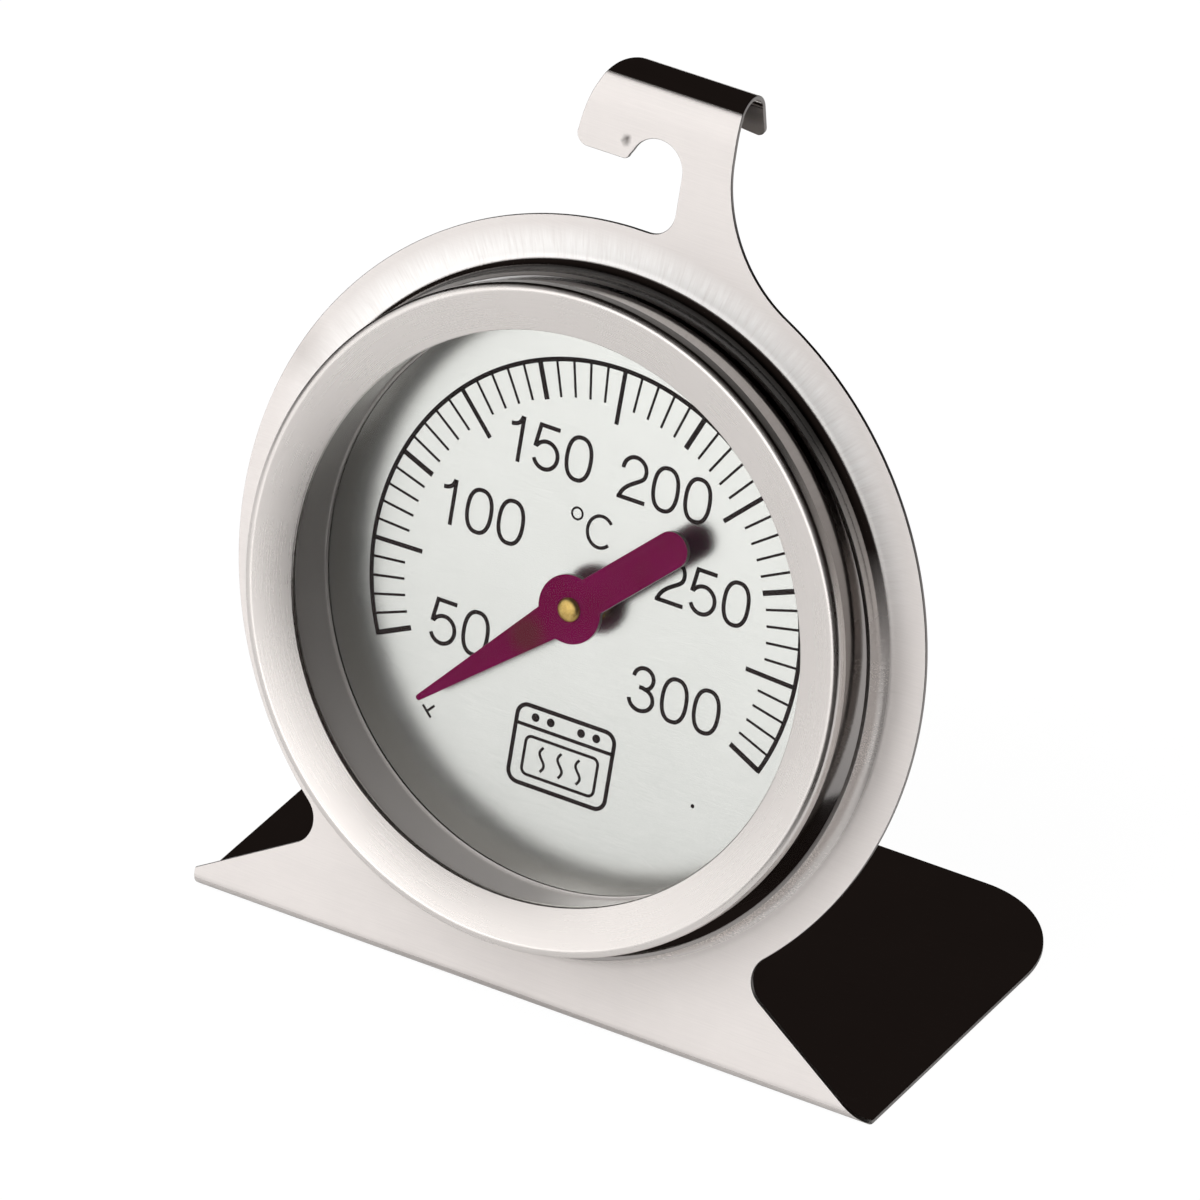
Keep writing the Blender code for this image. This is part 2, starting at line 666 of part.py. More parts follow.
def pointer(shaft, collection, look):
    """Flat painted pointer: round hub, tapered blade with a fine tip, broad round-ended tail."""
    tip_x = POINTER_TIP - POINTER_TIP_R
    lean = math.degrees(math.atan2(POINTER_ROOT_HALF - POINTER_TIP_R, tip_x))
    hub = math.degrees(math.asin(POINTER_ROOT_HALF / POINTER_HUB_R)) - 3
    tail = math.degrees(math.asin(POINTER_TAIL_R / POINTER_HUB_R))
    outside = arc(tip_x, 0, POINTER_TIP_R, lean - 90, 90 - lean, 6)
    outside += arc(0, 0, POINTER_HUB_R, hub, 180 - tail, 12)
    outside += arc(-POINTER_TAIL, 0, POINTER_TAIL_R, 90, 270, 14)
    outside += arc(0, 0, POINTER_HUB_R, 180 + tail, 360 - hub, 12)
    hole = arc(0, 0, POINTER_HOLE_R, 0, 360, SMALL_STEPS)[:-1]
    bottom = POINTER_TOP - POINTER_SHEET
    return flat_piece("pointer", (outside, hole), bottom, POINTER_TOP, look, shaft, collection)


def build():
    clear_scene()
    parts = bpy.data.collections.new("oven_thermometer")
    cutters = bpy.data.collections.new("cutters")
    for collection in (parts, cutters):
        bpy.context.scene.collection.children.link(collection)

    steel = material("brushed_steel", (0.66, 0.62, 0.60), 0.28, 1.0)
    case_steel = material("case_steel", (0.60, 0.57, 0.55), 0.25, 1.0)
    dial_metal = material("dial_aluminium", (0.78, 0.79, 0.77), 0.45, 0.6)
    glass = material("lens_glass", (0.95, 0.97, 0.97), 0.02, 0.0, 1.0)
    paint = material("pointer_paint", (0.16, 0.012, 0.075), 0.4, 0.0)
    brass = material("brass", (0.72, 0.48, 0.16), 0.25, 1.0)
    bimetal = material("bimetal_strip", (0.45, 0.40, 0.36), 0.4, 1.0)
    dark_steel = material("movement_steel", (0.45, 0.45, 0.46), 0.35, 1.0)

    lean = math.radians(LEAN)
    fold_reach = FOLD_R * math.tan(math.radians(90.0 + LEAN) / 2)
    corner_y = -(fold_reach + FOOT_DEPTH) / 2
    head = bpy.data.objects.new("head_frame", None)
    parts.objects.link(head)
    head.location = (0.0, (corner_y + CENTRE_UP * math.sin(lean)) * MM, CENTRE_UP * math.cos(lean) * MM)
    head.rotation_euler = (math.pi / 2 - lean, 0.0, 0.0)
    shaft = bpy.data.objects.new("pointer_axis", None)
    parts.objects.link(shaft)
    shaft.parent = head
    shaft.rotation_euler = (0.0, 0.0, math.radians(POINTER_REST))

    stand_plate(head, parts, steel)
    case_cup(head, parts, cutters, case_steel)
    bezel_ring(head, parts, case_steel)
    glass_lens(head, parts, glass)
    spacer_ring(head, parts, case_steel)
    dial_plate(head, parts, dial_metal)
    dial_support_ring(head, parts, dark_steel)
    movement_bridge(head, parts, cutters, dark_steel)
    bridge_rivet("bridge_rivet_left", -1, head, parts, dark_steel)
    bridge_rivet("bridge_rivet_right", 1, head, parts, dark_steel)
    front_bearing(head, parts, brass)
    rear_bearing(head, parts, brass)
    bimetal_coil(head, parts, bimetal)
    coil_post(head, parts, cutters, dark_steel)
    coil_collet(shaft, parts, brass)
    arbor(shaft, parts, dark_steel)
    thrust_washer(shaft, parts, dark_steel)
    pointer_boss(shaft, parts, brass)
    pointer(shaft, parts, paint)


build()
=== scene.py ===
"""Looks of an oven thermometer: round dial in a pressed steel case, on a stand bent from one sheet.

Shapes are drawn in the plate frame: origin at the middle of the dial case on the stand's front face,
X to the right, Y up the plate, Z out of its front. Every length in a shape is in millimetres and every
angle in degrees.
"""

import json
import math

import bmesh
import bpy
from mathutils import Matrix, Vector

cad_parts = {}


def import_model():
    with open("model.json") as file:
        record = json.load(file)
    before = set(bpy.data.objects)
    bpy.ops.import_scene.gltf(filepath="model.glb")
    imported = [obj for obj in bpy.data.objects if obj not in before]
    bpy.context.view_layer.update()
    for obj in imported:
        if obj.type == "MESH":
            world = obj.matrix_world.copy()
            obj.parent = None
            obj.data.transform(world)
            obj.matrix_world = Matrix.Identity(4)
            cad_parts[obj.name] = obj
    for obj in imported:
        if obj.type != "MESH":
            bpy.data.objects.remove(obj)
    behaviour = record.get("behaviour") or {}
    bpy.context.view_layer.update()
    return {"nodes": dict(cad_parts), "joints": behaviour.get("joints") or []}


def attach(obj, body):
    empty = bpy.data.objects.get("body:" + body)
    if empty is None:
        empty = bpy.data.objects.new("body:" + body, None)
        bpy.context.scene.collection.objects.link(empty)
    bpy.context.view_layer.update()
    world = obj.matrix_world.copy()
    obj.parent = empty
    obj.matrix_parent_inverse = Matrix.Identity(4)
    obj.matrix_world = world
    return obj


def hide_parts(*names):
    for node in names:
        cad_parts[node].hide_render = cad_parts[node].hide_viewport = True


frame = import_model()

MM = 0.001
CASE_BODY = "stand_and_case"
POINTER_BODY = "pointer_assembly"

# Plate frame, from the pointer's hinge: its axis points into the plate
HINGE = frame["joints"][0]
HEAD = Vector(HINGE["pos_m"])
OUT = -Vector(HINGE["axis"]).normalized()
ACROSS = Vector((1.0, 0.0, 0.0))
UP = OUT.cross(ACROSS)
PLATE = Matrix.Translation(HEAD) @ Matrix((ACROSS, UP, OUT)).transposed().to_4x4()

# Stand sheet
SHEET = 0.35
LEAN = math.degrees(math.asin(OUT.z))
DISC_R = 29.98
CENTRE_UP = HEAD.z / MM / math.cos(math.radians(LEAN))
FOLD_R = 1.0
FOOT_DEPTH = 32.6
FOOT_LEFT = 29.0
FOOT_RIGHT = 31.3
FOOT_CORNER_R = 8.8
WING_LEFT = (29.6, 12.2)
WING_RIGHT = (33.2, 9.9)
NOTCH_R = 2.2
COLLAR_R = 26.44
COLLAR_HIGH = 1.92
COLLAR_FILLET = 1.06
COLLAR_FOOT_R = COLLAR_R + COLLAR_FILLET
COLLAR_DROP = 0.48
BEND_STEP = 5.0

# Hook
ARM_RIGHT = 6.6
ARM_FLARE = 0.15
ARM_FILLET_R = 11.8
TAB_LEFT = 6.65
TAB_BOTTOM = 34.95
TAB_SIDE_R = 13.3
TAB_SIDE_ARC = (94, 175)
TAB_CORNER_R = 1.0
SLOT_X = 0.42
SLOT_TOP_R = 2.27
SLOT_TOP_ARC = (158, 0)
SLOT_FOOT_R = 2.0
SLOT_LIP_R = 0.5
SLOT_LIP_LEFT = 0.6
SLOT_LIP_ARC = (270, 350)
CURL_START = 38.4
CURL_PATH = ((10.0, 13.0), (1.93, 143.0))
CURL_CORNER_R = 0.8

# Dial case
CUP_R = 25.5
CUP_WALL = 0.35
CUP_BACK = -8.0
CUP_RIM = 5.2
CUP_CORNER_R = 1.4
BEZEL_R = 25.85
BEZEL_SKIRT = 4.67
BEZEL_TOP = 5.93
BEZEL_OPEN_R = 22.09
BEZEL_OPEN_TOP = 5.0
BEZEL_OPEN_BOTTOM = 4.6
BEZEL_SHEET = 0.25
RING_IN_R = 22.74
RING_WALL = 0.5
RING_OUT_R = 24.95
RING_TOP = 3.5
RING_BOTTOM = -0.87
DIAL_FACE = -0.97
DIAL_THICK = 0.45
DIAL_HOLE_R = 1.9
VENTS = 8
VENT_MIDDLE_R = 18.0
VENT_LONG = 6.0
VENT_WIDE = 1.8
RIVET_X = 12.0
RIVET_R = 0.9
COIL_OUT_R = 8.2

# Pointer
POINTER_TOP = 1.26
POINTER_SHEET = 0.4
POINTER_HUB_R = 2.7
POINTER_TIP = 15.96
POINTER_TIP_R = 0.24
POINTER_ROOT_HALF = 1.5
POINTER_TAIL = 10.45
POINTER_TAIL_R = 1.45
POINTER_REST = 223.0
PIN_R = 0.95

# Printed scale
INK = 0.015
SCALE_R = 18.72
SCALE_LINE = 0.36
SCALE_START = 204.3
DEGREES_PER_5 = 4.6
SCALE_STEPS = 50
# Marks as (every so many steps, inner radius, width); the first that fits a step is drawn
SCALE_MARKS = ((10, 15.7, 0.42), (5, 14.4, 0.36), (1, 15.8, 0.2))
SCALE_END_OVERLAP = 0.5
REST_MARK = 226.5
REST_MARK_R = 17.15
REST_MARK_HALF = 0.58
REST_MARK_STEM = 0.85
SMALL_STROKE = 0.2
DIGIT_HIGH = 3.62
DIGIT_ADVANCE = 2.82
DIGIT_STROKE = 0.33
CELL_HALF = DIGIT_ADVANCE / 2
# Text and the place of its lower left corner
NUMBERS = (
    ("50", -12.98, -6.98),
    ("100", -14.36, 2.44),
    ("150", -9.52, 9.02),
    ("200", 0.98, 8.93),
    ("250", 5.62, 2.13),
    ("300", 4.66, -6.83),
)
OVEN_AT = (0.2, -12.3)
OVEN_HALF = (4.3, 3.1)

# Meshes
ROUND_STEPS = 240
BEZEL_STEPS = 320
SMOOTH_BELOW = 32.0
BEVEL_ABOVE = 50.0
WELD = 0.03

# Looks
SATIN_METALLIC = 0.45
SATIN_ROUGHNESS = 0.44
DRAWN_METALLIC = 0.55


# ---------------------------------------------------------------- shapes


def arc(x, y, radius, start, end, steps):
    """Points along an arc, both ends included."""
    points = []
    for i in range(steps + 1):
        turn = math.radians(start + (end - start) * i / steps)
        points.append((x + radius * math.cos(turn), y + radius * math.sin(turn)))
    return points


def polar(radius, degrees):
    turn = math.radians(degrees)
    return radius * math.cos(turn), radius * math.sin(turn)


def rounded(corners, step=12.0):
    """Points round a closed polygon of (x, y, corner radius)."""
    points = []
    for i, (x, y, radius) in enumerate(corners):
        if radius == 0:
            points.append((x, y))
            continue
        here = Vector((x, y))
        before = (Vector(corners[i - 1][:2]) - here).normalized()
        after = (Vector(corners[(i + 1) % len(corners)][:2]) - here).normalized()
        half = before.angle(after) / 2
        centre = here + (before + after).normalized() * radius / math.sin(half)
        start = here + before * radius / math.tan(half) - centre
        end = here + after * radius / math.tan(half) - centre
        first = math.degrees(math.atan2(start.y, start.x))
        last = math.degrees(math.atan2(end.y, end.x))
        sweep = (last - first + 180) % 360 - 180
        count = max(2, math.ceil(abs(sweep) / step))
        points += arc(centre.x, centre.y, radius, first, first + sweep, count)
    return points


def finish_piece(name, shape, body, looks, replaced=(), matrix=PLATE):
    """Makes an object of a bmesh drawn in the plate frame, gives it its body and materials, and hides the
    parts it replaces.
    """
    shape.transform(matrix)
    mesh = bpy.data.meshes.new(name)
    shape.to_mesh(mesh)
    shape.free()
    mesh.shade_smooth()
    mesh.set_sharp_from_angle(angle=math.radians(SMOOTH_BELOW))
    piece = bpy.data.objects.new(name, mesh)
    bpy.context.scene.collection.objects.link(piece)
    for look in looks:
        mesh.materials.append(look)
    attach(piece, body)
    if replaced:
        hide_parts(*replaced)
    return piece


def turned(profile, closed=True, steps=ROUND_STEPS):
    """A bmesh turned about Z from (radius, height) points."""
    shape = bmesh.new()
    rings = []
    for radius, height in profile:
        count = steps if radius > 0 else 1
        ring = []
        for i in range(count):
            x, y = polar(radius, 360 * i / steps)
            ring.append(shape.verts.new((x * MM, y * MM, height * MM)))
        rings.append(ring)
    pairs = list(zip(rings, rings[1:]))
    if closed:
        pairs.append((rings[-1], rings[0]))
    for low, high in pairs:
        for i in range(steps):
            j = (i + 1) % steps
            corners = [low[i % len(low)], low[j % len(low)], high[j % len(high)], high[i % len(high)]]
            shape.faces.new(list(dict.fromkeys(corners)))
    bmesh.ops.recalc_face_normals(shape, faces=shape.faces)
    return shape


def filled(loops, height=0.0):
    """A flat bmesh inside closed outlines; the first is outside and the others are holes."""
    shape = bmesh.new()
    for loop in loops:
        corners = [shape.verts.new((x * MM, y * MM, height * MM)) for x, y in loop]
        for first, second in zip(corners, corners[1:] + corners[:1]):
            shape.edges.new((first, second))
    bmesh.ops.triangle_fill(shape, use_beauty=True, edges=shape.edges, normal=(0.0, 0.0, 1.0))
    for face in shape.faces:
        if face.normal.z < 0:
            face.normal_flip()
    return shape


def rim_of(shape, inside_r):
    """Boundary edges that lie within a radius."""
    edges = [e for e in shape.edges if e.is_boundary]
    return [e for e in edges if max(v.co.xy.length for v in e.verts) < inside_r * MM]


def raise_rings(shape, rim, rings, drop=0.0):
    """Extrudes a round rim, whose middle is a drop below the origin, through rings of (radius, height)."""
    middle = Vector((0.0, -drop * MM))
    for radius, height in rings:
        grown = bmesh.ops.extrude_edge_only(shape, edges=rim)["geom"]
        rim = [g for g in grown if isinstance(g, bmesh.types.BMEdge)]
        for corner in {v for e in rim for v in e.verts}:
            flat = middle + (corner.co.xy - middle).normalized() * radius * MM
            corner.co = (flat.x, flat.y, height * MM)


def thicken(piece, thickness, edge, rim=0):
    """Gives a surface its sheet thickness, on its back, and softened edges."""
    sheet = piece.modifiers.new("sheet", "SOLIDIFY")
    sheet.thickness = thickness * MM
    sheet.offset = -1.0
    sheet.use_even_offset = True
    sheet.material_offset_rim = rim
    soften(piece, edge)


def soften(piece, edge):
    """Rounds the sharp edges and keeps the flats flat."""
    bevel = piece.modifiers.new("edge", "BEVEL")
    bevel.width = edge * MM
    bevel.segments = 2
    bevel.limit_method = "ANGLE"
    bevel.angle_limit = math.radians(BEVEL_ABOVE)
    bevel.use_clamp_overlap = False
    bevel.loop_slide = False
    bevel.harden_normals = True


def stroke(shape, points, width, bottom, closed=False):
    """A flat line of ink with a small thickness, along points in the plate frame."""
    if closed:
        before, after = points[-1:] + points[:-1], points[1:] + points[:1]
    else:
        before, after = points[:1] + points[:-1], points[1:] + points[-1:]
    rows = []
    for last, here, following in zip(before, points, after):
        place = Vector(here)
        come = (place - Vector(last)).normalized()
        go = (Vector(following) - place).normalized()
        along = (come + go).normalized()
        cosine = max(0.5, along.dot(go if go.length else come))
        side = Vector((-along.y, along.x)) * width / 2 / cosine
        left, right, top = place + side, place - side, bottom + INK
        row = [(left, top), (right, top), (right, bottom), (left, bottom)]
        rows.append([shape.verts.new((p.x * MM, p.y * MM, z * MM)) for p, z in row])
    pairs = list(zip(rows, rows[1:]))
    if closed:
        pairs.append((rows[-1], rows[0]))
    for first, second in pairs:
        for i in range(4):
            shape.faces.new((first[i], first[(i + 1) % 4], second[(i + 1) % 4], second[i]))
    if not closed:
        shape.faces.new(list(reversed(rows[0])))
        shape.faces.new(rows[-1])


def spot(shape, x, y, radius, bottom):
    """A round dot of ink."""
    rim = arc(x, y, radius, 0, 360, 20)[:-1]
    low = [shape.verts.new((a * MM, b * MM, bottom * MM)) for a, b in rim]
    high = [shape.verts.new((a * MM, b * MM, (bottom + INK) * MM)) for a, b in rim]
    shape.faces.new(high)
    shape.faces.new(list(reversed(low)))
    for i in range(len(rim)):
        j = (i + 1) % len(rim)
        shape.faces.new((low[i], low[j], high[j], high[i]))


# ---------------------------------------------------------------- stand


def wing_fillet_centre(slope, line):
    """Centre of the fillet between the disc and a wing's sloping edge, on the right side."""
    tilt = math.radians(slope)
    normal = Vector((math.sin(tilt), math.cos(tilt)))
    along = Vector((math.cos(tilt), -math.sin(tilt)))
    down = NOTCH_R - line
    reach = math.sqrt((DISC_R + NOTCH_R) ** 2 - down**2)
    return normal * down + along * reach


def side_outline(foot_half, foot_end, wing):
    """One side as if on the right, from the foot's rear corner to the disc, and the angle at its end."""
    slope, line = wing
    centre = wing_fillet_centre(slope, line)
    touch = math.degrees(math.atan2(centre.y, centre.x))
    tilt = math.radians(slope)
    wing_tip = (-line - math.sin(tilt) * foot_half) / math.cos(tilt)
    points = arc(foot_half - FOOT_CORNER_R, foot_end + FOOT_CORNER_R, FOOT_CORNER_R, -90, 0, 30)
    points.append((foot_half, wing_tip))
    points += arc(centre.x, centre.y, NOTCH_R, 270 - slope, touch + 180, 24)
    return points, touch


def hook_outline():
    """From the arm's fillet on the disc, up and round the hook, back to the disc."""
    fillet_x = ARM_RIGHT + ARM_FLARE + ARM_FILLET_R
    fillet_y = math.sqrt((DISC_R + ARM_FILLET_R) ** 2 - fillet_x**2)
    touch = math.degrees(math.atan2(fillet_y, fillet_x))
    points = arc(fillet_x, fillet_y, ARM_FILLET_R, touch + 180, 180, 30)
    corner_y = TAB_BOTTOM + TAB_SIDE_R - CURL_CORNER_R
    points += arc(ARM_RIGHT - CURL_CORNER_R, corner_y, CURL_CORNER_R, 0, 80, 10)
    points += arc(TAB_SIDE_R - TAB_LEFT, TAB_BOTTOM, TAB_SIDE_R, *TAB_SIDE_ARC, 50)
    points += arc(TAB_CORNER_R - TAB_LEFT, TAB_BOTTOM + TAB_CORNER_R, TAB_CORNER_R, 180, 270, 10)
    lip_x = SLOT_X - SLOT_TOP_R - SLOT_LIP_LEFT
    points += arc(lip_x, TAB_BOTTOM + SLOT_LIP_R, SLOT_LIP_R, *SLOT_LIP_ARC, 8)
    points += arc(SLOT_X, TAB_BOTTOM, SLOT_TOP_R, *SLOT_TOP_ARC, 34)
    foot_x = SLOT_X + SLOT_TOP_R - SLOT_FOOT_R
    foot_y = math.sqrt((DISC_R + SLOT_FOOT_R) ** 2 - foot_x**2)
    points += arc(foot_x, foot_y, SLOT_FOOT_R, 0, -90, 18)
    return points, touch


def stand_outline(foot_end):
    """The sheet's flat outline, from the foot's right rear corner."""
    right, right_touch = side_outline(FOOT_RIGHT, foot_end, WING_RIGHT)
    left, left_touch = side_outline(FOOT_LEFT, foot_end, WING_LEFT)
    hook, hook_touch = hook_outline()
    outline = right
    outline += arc(0, 0, DISC_R, right_touch + 1, hook_touch - 0.7, 90)
    outline += hook
    outline += arc(0, 0, DISC_R, 91.5, 180 - left_touch - 1, 110)
    outline += [(-x, y) for x, y in reversed(left)]
    return outline


def follow(path, distance):
    """Where a strip is after a distance along bends of (radius, degrees), as (ahead, sideways)."""
    ahead, side, turn = 0.0, 0.0, 0.0
    for radius, degrees in path:
        step = min(distance, radius * math.radians(degrees))
        after = turn + step / radius
        ahead += radius * (math.sin(after) - math.sin(turn))
        side += radius * (math.cos(turn) - math.cos(after))
        turn = after
        distance -= step
    return ahead + distance * math.cos(turn), side + distance * math.sin(turn)


def path_length(path):
    return sum(radius * math.radians(degrees) for radius, degrees in path)


def bend_marks(path, degrees_each):
    marks, start = [-0.15, 0.0], 0.0
    for radius, degrees in path:
        length = radius * math.radians(degrees)
        count = max(4, round(degrees / degrees_each))
        marks += [start + length * i / count for i in range(count + 1)]
        start += length
    marks.append(start + 0.15)
    return sorted({round(mark, 6) for mark in marks})


def bend_sheet(shape, start, sign, path):
    """Creases and bends the sheet beyond a line at height start, upwards or downwards by the sign."""
    for mark in bend_marks(path, BEND_STEP):
        line = Vector((0.0, (start + sign * mark) * MM, 0.0))
        everything = list(shape.verts) + list(shape.edges) + list(shape.faces)
        bmesh.ops.bisect_plane(shape, geom=everything, dist=1e-8, plane_co=line, plane_no=(0.0, 1.0, 0.0))
    for corner in shape.verts:
        distance = sign * (corner.co.y / MM - start)
        if distance > 0:
            ahead, side = follow(path, distance)
            corner.co.y = (start + sign * ahead) * MM
            corner.co.z = -side * MM


def stand(look, cut_look):
    """One sheet: foot, fold, disc with a raised collar, and the arm that curls back into a hook."""
    fold = ((FOLD_R, 90.0 + LEAN),)
    fold_reach = FOLD_R * math.tan(math.radians(90.0 + LEAN) / 2)
    fold_start = fold_reach - CENTRE_UP
    foot_end = fold_start - path_length(fold) - (FOOT_DEPTH - fold_reach)
    support_r = COLLAR_FOOT_R + 0.15
    hole = arc(0, -COLLAR_DROP, support_r, 0, 360, ROUND_STEPS)[:-1]
    shape = filled((stand_outline(foot_end), hole))
    rings = [(COLLAR_FOOT_R, 0.0)]
    for degrees in range(9, 91, 9):
        turn = math.radians(degrees)
        height = COLLAR_FILLET * (1 - math.cos(turn))
        rings.append((COLLAR_FOOT_R - COLLAR_FILLET * math.sin(turn), height))
    rings += [(COLLAR_R, COLLAR_FILLET + 0.1), (COLLAR_R, COLLAR_HIGH)]
    raise_rings(shape, rim_of(shape, support_r + COLLAR_DROP + 0.1), rings, COLLAR_DROP)
    bend_sheet(shape, CURL_START, 1, CURL_PATH)
    bend_sheet(shape, fold_start, -1, fold)
    bmesh.ops.remove_doubles(shape, verts=shape.verts, dist=WELD * MM)
    bmesh.ops.recalc_face_normals(shape, faces=shape.faces)
    front = min(shape.faces, key=lambda f: (f.calc_center_median() - Vector((0.0, 0.029, 0.0))).length)
    if front.normal.z < 0:
        bmesh.ops.reverse_faces(shape, faces=shape.faces)
    piece = finish_piece("stand_sheet", shape, CASE_BODY, [look, cut_look], ["stand_plate"])
    thicken(piece, SHEET, 0.06, rim=1)
    return piece


# ---------------------------------------------------------------- dial case


def case_shell(look):
    """Drawn cup: back with vents and holes, rounded corner, open rim."""
    loops = [arc(0, 0, CUP_R - CUP_CORNER_R - 0.15, 0, 360, ROUND_STEPS)[:-1]]
    loops.append(arc(0, 0, 1.55, 0, 360, 40)[:-1])
    loops.append(arc(0, COIL_OUT_R, 0.6, 0, 360, 24)[:-1])
    for side in (-1, 1):
        loops.append(arc(side * RIVET_X, 0, RIVET_R + 0.08, 0, 360, 30)[:-1])
    half = (VENT_LONG - VENT_WIDE) / 2
    for i in range(VENTS):
        turn = math.radians(360 * (i + 0.5) / VENTS)
        vent = arc(half, 0, VENT_WIDE / 2, -90, 90, 14) + arc(-half, 0, VENT_WIDE / 2, 90, 270, 14)
        spun = []
        for x, y in vent:
            out = x + VENT_MIDDLE_R
            ahead = out * math.cos(turn) - y * math.sin(turn)
            spun.append((ahead, out * math.sin(turn) + y * math.cos(turn)))
        loops.append(spun)
    shape = filled(loops, CUP_BACK)
    rings = [(CUP_R - CUP_CORNER_R, CUP_BACK)]
    rings += arc(CUP_R - CUP_CORNER_R, CUP_BACK + CUP_CORNER_R, CUP_CORNER_R, -81, 0, 9)
    rings += [(CUP_R, CUP_BACK + CUP_CORNER_R + 0.2), (CUP_R, CUP_RIM)]
    outer = [e for e in shape.edges if e.is_boundary and min(v.co.xy.length for v in e.verts) > 23.5 * MM]
    raise_rings(shape, outer, rings)
    bmesh.ops.recalc_face_normals(shape, faces=shape.faces)
    back = min(shape.faces, key=lambda f: f.calc_center_median().z)
    if back.normal.z > 0:
        bmesh.ops.reverse_faces(shape, faces=shape.faces)
    piece = finish_piece("case_shell", shape, CASE_BODY, [look], ["case_cup"])
    thicken(piece, CUP_WALL, 0.05)
    return piece


def bezel(look):
    """Pressed ring with a rounded shoulder, a sloping face and a turned-in lip."""
    profile = [
        (BEZEL_OPEN_R, BEZEL_OPEN_BOTTOM, 0.03),
        (BEZEL_OPEN_R, BEZEL_OPEN_TOP, 0.14),
        (BEZEL_R - 0.5, BEZEL_TOP, 0.6),
        (BEZEL_R, BEZEL_TOP - 0.2, 0.28),
        (BEZEL_R, BEZEL_SKIRT, 0.05),
        (BEZEL_R - BEZEL_SHEET, BEZEL_SKIRT, 0.05),
        (BEZEL_R - BEZEL_SHEET, BEZEL_TOP - 0.4, 0.1),
        (BEZEL_OPEN_R + 0.3, BEZEL_OPEN_TOP - 0.25, 0.05),
        (BEZEL_OPEN_R + 0.3, BEZEL_OPEN_BOTTOM, 0.03),
    ]
    shape = turned(rounded(profile, 8.0), steps=BEZEL_STEPS)
    return finish_piece("bezel", shape, CASE_BODY, [look], ["bezel_ring"])


def inner_ring(look):
    """Bright wall between dial and lens, with a small cove where it meets the dial."""
    wall = RING_IN_R + RING_WALL
    cove = 0.2
    flange = RING_TOP - 0.5
    profile = [(RING_OUT_R, RING_TOP), (RING_OUT_R, flange), (wall, flange), (wall, RING_BOTTOM)]
    profile += [(RING_IN_R - cove, RING_BOTTOM), (RING_IN_R - cove, RING_BOTTOM + 0.02)]
    profile += arc(RING_IN_R - cove, RING_BOTTOM + cove + 0.02, cove, -80, 0, 8)
    profile += arc(RING_IN_R + 0.1, RING_TOP - 0.1, 0.1, 180, 90, 4)
    shape = turned(profile)
    return finish_piece("inner_ring", shape, CASE_BODY, [look], ["spacer_ring"])


def dial(look):
    back = DIAL_FACE - DIAL_THICK
    profile = [(RING_OUT_R, DIAL_FACE), (RING_OUT_R, back), (DIAL_HOLE_R, back), (DIAL_HOLE_R, DIAL_FACE)]
    shape = turned(profile)
    return finish_piece("dial_disc", shape, CASE_BODY, [look], ["dial_plate"])


def rivet(name, side, look):
    """Riveted bridge foot, headed inside and outside the case."""
    inside = CUP_BACK + CUP_WALL + 0.7
    outside = CUP_BACK - 0.1
    head_r, head_high = 1.8, 0.7
    profile = [(0.0, inside + 0.6), (1.1, inside + 0.5), (1.6, inside + 0.15), (1.6, inside)]
    profile += [(RIVET_R, inside), (RIVET_R, outside), (head_r, outside)]
    for degrees in range(15, 90, 15):
        turn = math.radians(degrees)
        profile.append((head_r * math.cos(turn), outside - head_high * math.sin(turn)))
    profile.append((0.0, outside - head_high))
    shape = turned(profile, closed=False, steps=64)
    bmesh.ops.translate(shape, verts=shape.verts, vec=(side * RIVET_X * MM, 0.0, 0.0))
    return finish_piece(name + "_fine", shape, CASE_BODY, [look], [name])


# ---------------------------------------------------------------- printing


def ellipse(x, y, across, high, start, end, steps, power=2.0):
    """Points on a (squared) ellipse."""
    points = []
    for i in range(steps + 1):
        turn = math.radians(start + (end - start) * i / steps)
        cosine, sine = math.cos(turn), math.sin(turn)
        points.append((
            x + across * math.copysign(abs(cosine) ** (2 / power), cosine),
            y + high * math.copysign(abs(sine) ** (2 / power), sine),
        ))
    return points


def bezier(p0, p1, p2, p3, steps):
    points = []
    for i in range(steps + 1):
        t = i / steps
        weights = ((1 - t) ** 3, 3 * t * (1 - t) ** 2, 3 * t * t * (1 - t), t**3)
        points.append(tuple(sum(w * p[k] for w, p in zip(weights, (p0, p1, p2, p3))) for k in (0, 1)))
    return points


def digit_lines(digit):
    """Centre lines of a digit in its cell, as (points, closed), from the base line up."""
    top = DIGIT_HIGH - DIGIT_STROKE / 2
    low = DIGIT_STROKE / 2
    middle = DIGIT_HIGH / 2
    if digit == "0":
        return [(ellipse(CELL_HALF, middle, 1.04, middle - 0.13, 0, 360, 48, 2.35)[:-1], True)]
    if digit == "1":
        stem = 1.9
        flag = bezier((0.9, 2.84), (1.45, 2.86), (1.72, 3.05), (1.84, 3.6), 8)
        return [([(stem, 0.0), (stem, DIGIT_HIGH)], False), (flag, False)]
    if digit == "2":
        line = ellipse(1.4, 2.5, 1.0, top - 2.46, 184, -18, 20)
        line += bezier(line[-1], (2.2, 1.62), (0.62, 1.35), (0.4, low), 14)[1:]
        return [(line, False), ([(0.2, low), (2.64, low)], False)]
    if digit == "3":
        upper = ellipse(1.38, 2.66, 0.86, top - 2.62, 178, -72, 22)
        upper += [(1.42, 1.94), (1.1, 1.94)]
        lower = [(1.42, 1.94)] + ellipse(1.4, 1.03, 1.03, 0.9, 66, -172, 24)
        return [(upper, False), (lower, False)]
    stick = [(2.3, top), (0.62, top), (0.37, 1.68)]
    bowl = ellipse(1.38, 1.2, 1.05, 1.08, 152, -157, 28)
    return [(stick, False), (bowl, False)]


